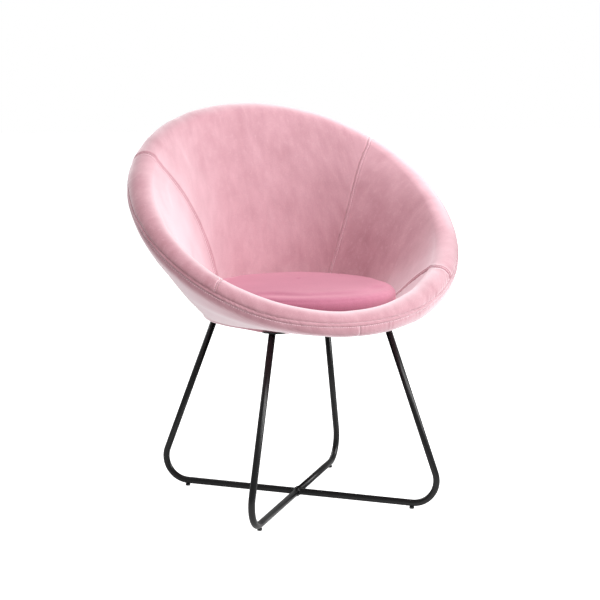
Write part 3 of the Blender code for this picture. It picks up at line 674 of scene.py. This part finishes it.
def makeWelt():
    # the turned seam allowance under the rim's seam: a flat raised band, pinched by its stitches
    ss = rollAt(np.linspace(weltLine["low"], weltLine["high"], 13))
    t, s = np.meshgrid(np.linspace(0, 2 * pi, 1101)[:-1], ss, indexing="ij")
    grid = clothGrid(t, s)
    edge = np.clip(grid.fromLow / (1.5 * mm), 0, 1) * np.clip(grid.toHigh / (1.5 * mm), 0, 1)
    height = weltLine["proud"] * edge**0.5 + 0.75 * seamDip(grid.fromLow) + 1.15 * seamDip(grid.toHigh)
    height *= rimPull(t)
    x, y = 0.36 * np.cos(t), 0.36 * np.sin(t)
    height += (0.10 + 0.16 * hump(t, 2 * pi - 0.7, 0.5)) * mm * ripple(x, y + grid.fromLow, 8 * mm, 71)
    face = lifted(grid, height)
    back = lifted(grid, height - shell["cloth"])
    return closedCloth("rim_welt_cloth", face, back, grid, velvet, "velvet", wrap=True,
                       replaced=["rim_welt"])


rodMid = (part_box("rod_a")[0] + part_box("rod_a")[1]) / 2      # the crossing of the floor bars, in plan
panels = {}
for name, first, last, count, rows, soft, seed in (
        ("lining_left", "backLeft", "frontLeft", 250, True, (1.0, 0.3), 11),
        ("lining_front", "frontLeft", "frontRight", 190, False, (0.3, 1.0), 21),
        ("lining_right", "frontRight", "backRight", 250, True, (1.0, 1.0), 31),
        ("lining_back", "backRight", "backLeft", 290, False, (1.0, 1.0), 41)):
    panels[name] = makeLining(name, first, last, count, rows, soft, seed)
panels["outer_cover_right"] = makeOuterCover("outer_cover_right", 0.0, pi, 51)
panels["outer_cover_left"] = makeOuterCover("outer_cover_left", -pi, 0.0, 61, [makeWelt()])
print("the shell's covers are sewn")


# Padding under the covers
padding = {
    "from": 21.2, "wallTop": 10.0, "wallFoot": 1.08,      # degrees up the roll, and the wall's lowest place
    "under": 1.6 * mm, "wallUnder": 6.6 * mm,             # room below the linings, and for the core outside
    "sink": 2.2 * mm, "seamSpread": 6 * mm, "weltSpread": 0.10, "footIn": 8.5 * mm,
}


def makePadding():
    # moulded foam just under the linings; it sinks where a seam pulls the cloth in
    ts = np.linspace(0, 2 * pi, 361)[:-1]
    overRoll, down = rollAt(np.linspace(padding["from"], 180, 24)), np.linspace(3, 4, 30)[1:]
    outer = clothGrid(*np.meshgrid(ts, np.concatenate([overRoll, down]), indexing="ij"))
    edge = rollAt(np.array([padding["from"], padding["wallTop"]]))
    down = np.linspace(2.0, padding["wallFoot"], 12)
    inner = clothGrid(*np.meshgrid(ts, np.concatenate([edge, down]), indexing="ij"))
    sink = 0 * outer.t
    for seam in seamPath:
        away = np.abs((outer.t - seamAngle(seam, outer.s) + pi) % (2 * pi) - pi)
        reach = away * np.linalg.norm(outer.base[..., :2], axis=-1)
        sink += padding["sink"] * hump(reach, 0, padding["seamSpread"])
    sink += padding["sink"] * hump(outer.s, rollAt(weltLine["high"]), padding["weltSpread"])
    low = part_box("shell_foam")[0].z
    sink += shell["cloth"] + padding["under"] - np.minimum(frontRimWave(outer.t, outer.s), 0)
    face = lifted(outer, -sink)
    wall = lifted(inner, -(shell["cloth"] + padding["wallUnder"]))
    columns = []
    for w, angle in ((-padding["footIn"], ts), (-shell["deckInset"], warped(ts, 1))):
        foot, run, _ = footLine(angle)
        columns.append(np.concatenate([foot + run * w, 0 * foot[:, :1] + low], -1)[:, None])
    ring = np.concatenate([face[:, ::-1], wall, *columns], 1)      # one closed loop of points each station
    piece = makePiece("shell_foam_padding", ring, [loopQuads(*ring.shape[:2], True)[:, ::-1]], foam, "chair",
                      "foam", replaced=["shell_foam"])


makePadding()


# Stitches
# thread of 0.5 mm would not show, so it is drawn 1.2 mm wide
stitch = {"length": 3.6 * mm, "gap": 1.3 * mm, "width": 1.2 * mm, "height": 0.7 * mm}


def lineAt(grid, face, side, distance):
    # the line on a panel that keeps a distance from one of its edges, with the cloth's normals
    away = {"start": grid.fromStart, "end": grid.toEnd, "low": grid.fromLow, "high": grid.toHigh}[side]
    points, normals = face, grid.normal
    if side in ("low", "high"):
        away, points, normals = away.T, np.swapaxes(points, 0, 1), np.swapaxes(normals, 0, 1)
    if side in ("end", "high"):
        away, points, normals = away[::-1], points[::-1], normals[::-1]
    row = np.clip((away < distance).sum(0), 1, len(away) - 1)
    col = np.arange(away.shape[1])
    part = ((distance - away[row - 1, col]) / (away[row, col] - away[row - 1, col]))[:, None]
    return (points[row - 1, col] * (1 - part) + points[row, col] * part), normals[row, col]


def spaced(points, normals, step):
    # centres, directions and normals at even steps along a line
    run = np.concatenate([[0], np.cumsum(np.linalg.norm(np.diff(points, axis=0), axis=1))])
    at = np.arange(step / 2, run[-1], step)
    place = np.stack([np.interp(at, run, points[:, k]) for k in range(3)], 1)
    ahead = np.stack([np.interp(at + 0.3 * step, run, points[:, k]) for k in range(3)], 1)
    behind = np.stack([np.interp(at - 0.3 * step, run, points[:, k]) for k in range(3)], 1)
    normal = np.stack([np.interp(at, run, normals[:, k]) for k in range(3)], 1)
    along = ahead - behind
    along /= np.linalg.norm(along, axis=1)[:, None]
    normal -= along * (normal * along).sum(1)[:, None]
    return place, along, normal / np.linalg.norm(normal, axis=1)[:, None]


def makeStitches(name, lines, body, size=stitch, material=thread, slot="velvet"):
    # each stitch is a short capsule: rings of six points whose size follows a half ellipse
    pieces = [spaced(p, n, size["length"] + size["gap"]) for p, n in lines]
    place, along, normal = (np.concatenate([p[k] for p in pieces]) for k in range(3))
    side = np.cross(normal, along)
    x = np.linspace(-1, 1, 6)
    swell = np.sqrt(1 - (0.93 * x)**2)
    turn = np.arange(6) * pi / 3
    ringX = np.repeat(x * size["length"] / 2, 6)
    ringY = np.outer(swell, np.cos(turn)).ravel() * size["width"] / 2
    ringZ = np.outer(swell, np.sin(turn)).ravel() * size["height"] / 2 + size["height"] * 0.15
    ringZ -= 0.25 * mm * np.repeat(x**2, 6)            # the ends dive into the cloth
    points = (place[:, None] + ringX[:, None] * along[:, None] + ringY[:, None] * side[:, None]
              + ringZ[:, None] * normal[:, None])
    one = loopQuads(6, 6)
    caps = np.array([[0, 1, 2, 3], [0, 3, 4, 5], [33, 32, 31, 30], [35, 34, 33, 30]])
    each = np.concatenate([one, caps])
    faces = (each[None] + 36 * np.arange(len(place))[:, None, None]).reshape(-1, 4)
    return makePiece(name, points, [faces], material, body, slot)


rowLines = [lineAt(*panels["lining_left"], "start", seams["rowAt"]),
            lineAt(*panels["lining_left"], "end", seams["rowAt"]),
            lineAt(*panels["lining_right"], "start", seams["rowAt"]),
            lineAt(*panels["lining_right"], "end", seams["rowAt"])]
makeStitches("lining_stitches", rowLines, "chair")
rimLine = [lineAt(*panels[side], "high", 0.9 * mm) for side in ("outer_cover_right", "outer_cover_left")]
makeStitches("rim_stitches", rimLine, "chair")
print("stitches are in")


# Seat deck and loose cushion
cushion = {
    "over": 0.002, "frontOver": 0.008, "backIn": 0.010,    # its widest line beyond the foot's outline
    "low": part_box("cushion_cover")[0].z, "high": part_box("cushion_cover")[1].z,
    "edgeRound": 0.030, "sideHeight": 0.0455,
    "startIn": 4 * mm, "voxel": 5 * mm, "pressure": 4.0, "stiffness": 25.0, "steps": 20,
    "swell": 9 * mm, "drift": 2.5 * mm, "evenings": 30,    # most that a point may move, and that is kept
    "seam": 1.70,                                          # the top seam's place up the side
    "recess": 1.8 * mm,                                    # room for the cloth under it
    "sideNapAndPaintedLight": 2.4, "topNapAndPaintedShade": -0.65,                       # brushed up in front and laid down on top; this paints light onto the front side that the rim shades, and painted shade onto the top
}


def cushionOutline(t):
    # how far the cushion's widest line stands out from the foot at each station
    front, back = (1 + np.cos(t)) / 2, (1 - np.cos(t)) / 2
    return cushion["over"] + cushion["frontOver"] * front**2 - cushion["backIn"] * back**2


def cushionPoint(t, q, shrink=0.0):
    # q runs 0..1 out along the bottom, 1..2 up the rounded side, 2..3 in over the crown
    foot, run, _ = footLine(t)
    grow = cushionOutline(t) - shrink
    middle = np.array([0.0, seatMid.y])
    low, high = cushion["low"], cushion["high"] - shrink
    r, h = cushion["edgeRound"], cushion["sideHeight"] - shrink
    turn = (np.clip(q - 1, 0, 1) - 0.5) * pi
    sideW = -r * (1 - np.abs(np.cos(turn))**0.8)
    sideZ = h * 0.5 * (1 + np.sign(np.sin(turn)) * np.abs(np.sin(turn))**0.9)
    edge = foot + run * (grow + sideW)[..., None]
    share = np.where(q < 1, np.clip(q, 0, 1), np.clip(3 - q, 0, 1))[..., None]
    ring = foot + run * (grow - r)[..., None]
    flat = middle + (ring - middle) * share
    onSide = ((q >= 1) & (q <= 2))[..., None]
    plan = np.where(onSide, edge, flat)
    crown = h + (high - low - h) * (1 - share[..., 0]**2)
    z = np.where(q < 1, 0.0, np.where(q <= 2, sideZ, crown)) + low
    return np.concatenate([plan, z[..., None]], -1)


def closedDome(grid, first, last):
    # a wrapped grid closed by a pole at each end
    rows, cols = grid.shape[:2]
    points = np.concatenate([grid.reshape(-1, 3), [first, last]])
    i = np.arange(rows)
    n = (i + 1) % rows
    count = rows * cols
    return points, [gridQuads(rows, cols, 0, True), np.stack([n * cols, i * cols, 0 * i + count], -1),
                    np.stack([i * cols + cols - 1, n * cols + cols - 1, 0 * i + count + 1], -1)]


def plainObject(name, points, faces):
    mesh = bpy.data.meshes.new(name)
    mesh.from_pydata(points.tolist(), [], [f for part in faces for f in part.tolist()])
    made = bpy.data.objects.new(name, mesh)
    bpy.context.scene.collection.objects.link(made)
    return made


def coordinates(mesh):
    found = np.zeros(len(mesh.vertices) * 3, np.float32)
    mesh.vertices.foreach_get("co", found)
    return found.reshape(-1, 3).astype(float)


def bakeModifiers(obj):
    graph = bpy.context.evaluated_depsgraph_get()
    made = bpy.data.meshes.new_from_object(obj.evaluated_get(graph))
    obj.modifiers.clear()
    obj.data = made


def inflateCushion():
    # the start is a smaller cushion; air pressure swells it and the cloth rounds and tightens itself
    ts = np.linspace(0, 2 * pi, 97)[:-1]
    qs = np.concatenate([np.linspace(0.15, 1, 8)[:-1], np.linspace(1, 2, 14), np.linspace(2, 2.85, 8)[1:]])
    t, q = np.meshgrid(ts, qs, indexing="ij")
    grid = cushionPoint(t, q, cushion["startIn"])
    low, high = cushionPoint(np.zeros(2), np.array([0.0, 3.0]), cushion["startIn"])
    puffed = plainObject("cushion_swelling", *closedDome(grid, low, high))
    remesh = puffed.modifiers.new("remesh", "REMESH")
    remesh.mode, remesh.voxel_size = "VOXEL", cushion["voxel"]
    bakeModifiers(puffed)
    start = coordinates(puffed.data)
    scene = bpy.context.scene
    sewn = puffed.modifiers.new("cloth", "CLOTH")
    sewn.settings.use_pressure = True
    sewn.settings.uniform_pressure_force = cushion["pressure"]
    sewn.settings.tension_stiffness = sewn.settings.compression_stiffness = cushion["stiffness"]
    sewn.settings.effector_weights.gravity = 0.0
    sewn.point_cache.frame_start, sewn.point_cache.frame_end = 1, cushion["steps"]
    for step in range(1, cushion["steps"] + 1):
        scene.frame_set(step)
    bpy.context.view_layer.update()
    bakeModifiers(puffed)
    scene.frame_set(1)
    moved = coordinates(puffed.data)
    step = moved - start
    far = np.linalg.norm(step, axis=1)[:, None]
    step *= np.minimum(1.0, cushion["swell"] / np.maximum(far, 1e-9))
    print("cushion swells by up to %.1f mm" % (far.max() / mm))
    puffed.data.vertices.foreach_set("co", (start + step).astype(np.float32).ravel())
    puffed.data.update()
    smooth = puffed.modifiers.new("smooth", "SUBSURF")
    smooth.levels = smooth.render_levels = 1
    bakeModifiers(puffed)
    return puffed


def outOf(grid):
    # unit normals of a wrapped grid of points
    normal = np.cross(np.roll(grid, -1, 0) - np.roll(grid, 1, 0), np.gradient(grid, axis=1))
    return normal / np.maximum(np.linalg.norm(normal, axis=-1), 1e-12)[..., None]


def makeCushion():
    rows = 300
    ts = np.linspace(0, 2 * pi, rows + 1)[:-1]
    qs = np.concatenate([np.linspace(0.04, 1, 16)[:-1], np.linspace(1, 2, 64), np.linspace(2, 2.97, 60)[1:]])
    t, q = np.meshgrid(ts, qs, indexing="ij")
    grid = cushionPoint(t, q)
    low, high = cushionPoint(np.zeros(2), np.array([0.0, 3.0]))
    puffed = inflateCushion()
    skin = plainObject("cushion_skin", *closedDome(grid, low, high))
    wrap = skin.modifiers.new("wrap", "SHRINKWRAP")
    wrap.target, wrap.wrap_method = puffed, "NEAREST_SURFACEPOINT"
    bakeModifiers(skin)
    found = coordinates(skin.data)
    room = np.linalg.norm(found - np.concatenate([grid.reshape(-1, 3), [low, high]]), axis=1)
    print("cushion skin moved by up to %.1f mm, mean %.1f" % (room.max() / mm, room.mean() / mm))
    # the swollen cloth gives the soft unevenness; the fitted shape keeps it to a few millimetres
    swelled = ((found[:-2].reshape(rows, len(qs), 3) - grid) * outOf(grid)).sum(-1)
    swelled -= swelled.mean()
    for _ in range(cushion["evenings"]):       # evened out by its neighbours
        sides = np.pad(swelled, ((0, 0), (1, 1)), "edge")
        swelled = (np.roll(swelled, 1, 0) + np.roll(swelled, -1, 0) + sides[:, :-2] + sides[:, 2:]) / 4
    grid = grid + outOf(grid) * (cushion["drift"] * np.tanh(swelled / cushion["drift"]))[..., None]
    for done in (skin, puffed):
        bpy.data.objects.remove(done, do_unlink=True)
    # the cloth keeps inside the room that the deck, the walls and the crown leave
    foot, run, _ = footLine(t)
    out = ((grid[..., :2] - foot) * run).sum(-1)
    over = np.maximum(out - cushionOutline(t) - 0.2 * mm, 0)
    grid[..., :2] -= run * over[..., None]
    grid[..., 2] = np.maximum(grid[..., 2], cushion["low"])
    # the seam that joins top and side, with wrinkles running off it
    across, along = lengths(grid, 0), lengths(grid, 1)
    normal = outOf(grid)
    seamQ = np.abs(qs - cushion["seam"]).argmin()
    fromSeam = np.abs(along - along[:, seamQ:seamQ + 1])
    x, y = grid[..., 0], grid[..., 1]
    height = -0.35 * mm * hump(fromSeam, 0, 2.2 * mm)
    height += 0.30 * mm * ripple(3 * x, 3 * y, 40 * mm, 83) * np.exp(-fromSeam / (10 * mm))
    height += 0.45 * mm * ripple(x, y, 120 * mm, 84) * np.clip((q - 1) / 0.5, 0, 1)
    tuck = hump(t, 0.62, 0.05) * np.exp(-fromSeam / (16 * mm))
    height += 0.9 * mm * tuck * np.sin(2 * pi * across / (9 * mm))
    grid = grid + normal * (height * np.clip((q - 1) / 0.15, 0, 1))[..., None]
    uv = np.stack([grid[..., 0], grid[..., 1] + np.where(q > 1, 0, 1.0)], -1)
    side = (q > 1) & (q < cushion["seam"])
    uv = np.where(side[..., None], np.stack([t * 0.2, along], -1), uv)
    points, faces = closedDome(grid, low, high)
    uv = np.concatenate([uv.reshape(-1, 2), [[low[0], low[1] + 1], [high[0], high[1]]]])
    inPad = np.linalg.norm((points[:, :2] - [0.0, seatMid.y]) / shell["panHalf"], axis=1)
    under = (points[:, 2] < cushion["low"] + 0.2 * mm) * np.clip((0.86 - inPad) / 0.03, 0, 1)
    points[:, 2] += cushion["recess"] * under
    # painted light on the cushion's front side and painted shade on its top, carried by the nap attribute
    side = cushion["sideNapAndPaintedLight"] * roundHump(t, 0.25, 0.9) * hump(q, 1.5, 0.35)
    top = cushion["topNapAndPaintedShade"] * np.clip((q - 1.8) / 0.3, 0, 1) * (1 - 0.8 * hump(grid[..., 1], -0.2, 0.1))
    nap = np.concatenate([(side + top).ravel(), [0.0, cushion["topNapAndPaintedShade"]]])
    piece = makePiece("seat_cushion", points, faces, cushionVelvet, "cushion", "cushion_velvet", uv,
                      ["cushion_cover", "cushion_foam"], nap)


makeCushion()
print("the cushion is made")


# Flat cloths under the cushion and under the seat
def makeFlatCloth(name, node, inset, low, high, material, slot, body, dome=None, uvPlace=0.0):
    # a round cloth that follows the foot's outline at an inset; dome gives the extra height of its face
    ts = np.linspace(0, 2 * pi, 241)[:-1]
    shares = np.concatenate([np.linspace(0.02, 0.94, 30), [0.97, 0.985, 0.995, 1.0]])
    t, share = np.meshgrid(ts, shares, indexing="ij")
    foot, run, _ = footLine(t)
    middle = np.array([0.0, seatMid.y])
    flat = middle + (foot - run * inset - middle) * share[..., None]
    soft = (high - low) * 0.35 * np.clip((share - 0.985) / 0.015, 0, 1)**2
    over = 0 * share if dome is None else dome(flat[..., 0], flat[..., 1], share)
    top = np.concatenate([flat, (high - soft + over)[..., None]], -1)
    bottom = np.concatenate([flat, (low + soft + over)[..., None]], -1)
    ring = np.concatenate([bottom, top[:, ::-1]], 1)
    below, above = [*middle, bottom[..., 2][:, 0].mean()], [*middle, top[..., 2][:, 0].mean()]
    points, faces = closedDome(ring, below, above)
    piece = makePiece(name, points, faces, material, body, slot, points[:, :2] + uvPlace, [node])
    outwards(piece)          # an oval fills pi / 4 of its box
    return piece


def deckSag(x, y, share):
    # the deck is pulled down a little by its edge seam and dimples softly over the pad
    return -0.25 * mm * (0.5 + 0.5 * np.tanh(ripple(x, y, 60 * mm, 91))) * (share < 0.97)


def dustSag(x, y, share):
    # loose cloth bellies down between the staples, up to 0.5 mm
    turn = np.arctan2(y, x)
    return -0.25 * mm * (1 + np.cos(36 * turn)) * hump(share, 0.93, 0.06)


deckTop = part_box("deck_cover")[1].z
makeFlatCloth("deck_cloth", "deck_cover", shell["deckInset"] + shell["cloth"], deckTop - shell["cloth"],
              deckTop, velvet, "velvet", "chair", deckSag)
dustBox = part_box("dust_cover")
dustInset = 11 * mm
makeFlatCloth("dust_cloth", "dust_cover", dustInset, dustBox[0].z + 0.25 * mm, dustBox[1].z, nonWoven,
              "lining_cloth", "chair", dustSag)
makeFlatCloth("cushion_base_cloth", "cushion_base", 40 * mm, cushion["low"] + 0.1 * mm,
              cushion["low"] + 1.2 * mm, nonWoven, "lining_cloth", "cushion", None, 0.5)


def stapleLine(inset, height):
    # the line of staples round the dust cloth, looking down
    t = np.linspace(0, 2 * pi, 361)
    foot, run, _ = footLine(t)
    points = np.concatenate([foot - run * inset, 0 * foot[:, :1] + height], 1)
    return points, np.tile([0.0, 0.0, -1.0], (len(t), 1))


staple = {"length": 10 * mm, "gap": 24 * mm, "width": 1.1 * mm, "height": 0.7 * mm}
makeStitches("dust_cloth_staples", [stapleLine(dustInset + 6 * mm, dustBox[0].z + 0.15 * mm)], "chair",
             staple, zinc, "zinc_steel")
print("deck, dust and cushion base cloths are cut")


# The rod frame
rod = {
    "radius": 0.007, "midZ": 0.012, "corner": 0.225, "lean": 0.2586, "bend": 0.050,
    "top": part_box("rod_a")[1].z, "sides": 32, "bendSteps": 24,
    "gap": 0.3 * mm,                                   # between a short rod's end and the long rod
}


def legPath(sx, sy):
    # from a leg's top down a straight line, round a bend of fixed radius, to the floor bar
    corner = np.array([rodMid.x + sx * rod["corner"], rodMid.y + sy * rod["corner"], rod["midZ"]])
    rise = np.array([-sx * rod["lean"], -sy * rod["lean"], 1.0])
    rise /= np.linalg.norm(rise)
    along = np.array([-sx, -sy, 0.0]) / np.sqrt(2)
    opening = np.arccos(rise @ along)
    reach = rod["bend"] / np.tan(opening / 2)
    bisector = (rise + along) / np.linalg.norm(rise + along)
    middle = corner + bisector * rod["bend"] / np.sin(opening / 2)
    start, end = corner + rise * reach - middle, corner + along * reach - middle
    sweep = pi - opening
    q = np.linspace(0, 1, rod["bendSteps"])[:, None]
    arc = middle + (start * np.sin(sweep * (1 - q)) + end * np.sin(sweep * q)) / np.sin(sweep)
    top = corner + rise * (rod["top"] - rod["midZ"]) / rise[2]
    return np.concatenate([[top], arc])


def makeRod(name, path, levelEnds):
    # circles square to the path; across is the level normal of the plane that the rod is bent in
    span = path[-1] - path[0]
    across = np.cross([span[0], span[1], 0.0], [0, 0, 1.0])
    across /= np.linalg.norm(across)
    ways = np.gradient(path, axis=0)
    ways[0], ways[-1] = path[1] - path[0], path[-1] - path[-2]
    ways /= np.linalg.norm(ways, axis=1)[:, None]
    other = np.cross(across, ways)
    turn = np.arange(rod["sides"]) * 2 * pi / rod["sides"]
    ring = (path[:, None] + rod["radius"] * (np.cos(turn)[None, :, None] * across
                                             + np.sin(turn)[None, :, None] * other[:, None]))
    for end, level in ((0, levelEnds[0]), (-1, levelEnds[1])):
        if level:   # slide the end's points along the rod to one height
            ring[end] += ways[end] * ((path[end, 2] - ring[end, :, 2]) / ways[end, 2])[:, None]
    rows, cols = ring.shape[:2]
    caps = [list(range(cols))[::-1], list(range((rows - 1) * cols, rows * cols))]
    outwards(makePiece(name + "_tube", ring, [loopQuads(rows, cols), caps], powderCoat, "chair",
                       "black_steel", replaced=[name]))


rearLeft, frontRight = legPath(-1, 1), legPath(1, -1)
makeRod("rod_a", np.concatenate([rearLeft, frontRight[::-1]]), (True, True))
for name, sx, sy in (("rod_b_front", -1, -1), ("rod_b_rear", 1, 1)):
    stop = np.array([sx, sy, 0.0]) / np.sqrt(2) * (rod["radius"] + rod["gap"])
    stop += [rodMid.x, rodMid.y, rod["midZ"]]
    makeRod(name, np.concatenate([legPath(sx, sy), [stop]]), (True, False))
print("rods are bent")


# Welds, glides, washers and screws
def turned(name, node, rings, centre, material, slot, sides=40, hexFrom=None):
    # a turned part about an upright axis: rings of (radius, height), open at neither end; rings from
    # number hexFrom on are six-sided, r / cos(angle from the middle of a flat)
    turn = np.arange(sides) * 2 * pi / sides
    radius = np.array([r for r, _ in rings])[None] * np.ones((sides, 1))
    if hexFrom is not None:
        flat = (turn + pi / 6) % (pi / 3) - pi / 6
        radius[:, hexFrom:] *= (np.cos(pi / 6) / np.cos(flat))[:, None]
    grid = np.stack([centre[0] + radius * np.cos(turn)[:, None], centre[1] + radius * np.sin(turn)[:, None],
                     np.array([z for _, z in rings])[None] * np.ones((sides, 1))], -1)
    ends = [[*centre, rings[0][1]], [*centre, rings[-1][1]]]
    piece = outwards(makePiece(name, *closedDome(grid, *ends), material, "chair", slot, replaced=[node]))
    piece.data.set_sharp_from_angle(angle=float(np.radians(40)))
    return piece


def nodeMiddle(node):
    low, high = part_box(node)
    return (low.x + high.x) / 2, (low.y + high.y) / 2, low.z, high.z, (high.x - low.x) / 2


fixing = {"washerHole": 3.3 * mm, "washerBevel": 0.1 * mm, "washerEdge": 0.2 * mm,
          "head": 3.4 * mm, "shank": 3.0 * mm, "socket": 2.3 * mm, "socketDeep": 2.2 * mm}


def makeGlide(side):
    # rings up the stub: a rounded foot, a straight side and a small bevel at the top
    x, y, low, high, r = nodeMiddle("glide_" + side)
    rings = [(r * 0.55, low), (r * 0.80, low + 0.05 * mm), (r * 0.93, low + 0.35 * mm), (r, low + 1.0 * mm),
             (r, high - 0.6 * mm), (r * 0.96, high - 0.15 * mm), (r * 0.9, high)]
    turned("glide_stub_" + side, "glide_" + side, rings, (x, y), plastic, "black_plastic")


def makeWasher(number):
    # an eight-sided section, bevelled at the hole and at the rim, carried round the bolt
    x, y, low, high, r = nodeMiddle("washer_" + number)
    hole, bevel, edge = fixing["washerHole"], fixing["washerBevel"], fixing["washerEdge"]
    section = np.array([(hole, low + bevel), (hole + bevel, low), (r - edge, low), (r, low + edge),
                        (r, high - bevel), (r - bevel, high), (hole + bevel, high), (hole, high - bevel)])
    turn = np.arange(48)[:, None] * 2 * pi / 48
    ring = np.stack([x + section[:, 0] * np.cos(turn), y + section[:, 0] * np.sin(turn),
                     section[:, 1] + 0 * turn], -1)
    outwards(makePiece("plain_washer_" + number, ring, [loopQuads(48, 8, True)], zinc, "chair",
                       "zinc_steel", replaced=["washer_" + number]))


def makeScrew(number):
    # rings from the shank's end down to the head's rounded face, and up into the six-sided socket
    x, y, low, high, r = nodeMiddle("bolt_" + number)
    head, shank, socket = fixing["head"], fixing["shank"], fixing["socket"]
    rings = [(shank * 0.8, high), (shank, high - 0.5 * mm), (shank, low + head), (r - 0.1 * mm, low + head),
             (r, low + head - 0.2 * mm), (r * 0.97, low + head * 0.55), (r * 0.88, low + head * 0.28),
             (r * 0.72, low + head * 0.08), (r * 0.58, low), (socket, low + 0.02 * mm),
             (socket, low + fixing["socketDeep"]), (socket * 0.5, low + fixing["socketDeep"] + 0.2 * mm)]
    turned("socket_screw_" + number, "bolt_" + number, rings, (x, y), zinc, "zinc_steel", 36, 9)


for side in ("front_left", "front_right", "rear_left", "rear_right"):
    makeGlide(side)
for number in "1234":
    makeWasher(number)
    makeScrew(number)


weld = {"length": 3.2 * mm, "proud": 2.1 * mm, "ripple": 0.22 * mm, "boreIn": 0.05 * mm}


def makeWeld(name, node, sx, sy):
    # a fillet round the rod's end, thick at the joint, with the ripples that each drop of metal leaves
    turn = np.linspace(0, 2 * pi, 97)[:-1, None]
    x = np.linspace(0, 1, 9)[None]
    beads = weld["ripple"] * np.abs(np.sin(7 * turn + 2 * x)) * (1 - x)
    start = rod["radius"] + rod["gap"]
    radius = start + (weld["proud"] * (1 - x)**1.5 + beads) * (1 - 0.05 * np.cos(3 * turn))
    aim = np.array([sx, sy, 0.0]) / np.sqrt(2)
    across, up = np.cross(aim, [0, 0, 1.0]), np.array([0, 0, 1.0])
    middle = np.array([rodMid.x, rodMid.y, rod["midZ"]])
    rings = []
    for place, size in ((x, radius), (x[:, ::-1], start - weld["boreIn"] + 0 * x)):
        rings.append(middle + aim * (start + place * weld["length"] + 0 * turn)[..., None]
                     + across * (size * np.cos(turn))[..., None] + up * (size * np.sin(turn))[..., None])
    ring = np.concatenate(rings, 1)
    outwards(makePiece(name, ring, [loopQuads(*ring.shape[:2], True)], powderCoat, "chair", "black_steel",
                       replaced=[node]))


makeWeld("weld_bead_front", "weld_front", -1, -1)
makeWeld("weld_bead_rear", "weld_rear", 1, 1)
print("welds, glides and screws are fitted")

# Parts that keep their own shape get their real finish
finishes = {"mount_plate": powderCoat, "seat_board": plywood, "shell_core": plywood, "deck_pad": foam}
finishes.update({"tee_nut_" + number: zinc for number in "1234"})
for name, material in finishes.items():
    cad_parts[name].data.materials.clear()
    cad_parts[name].data.materials.append(material)
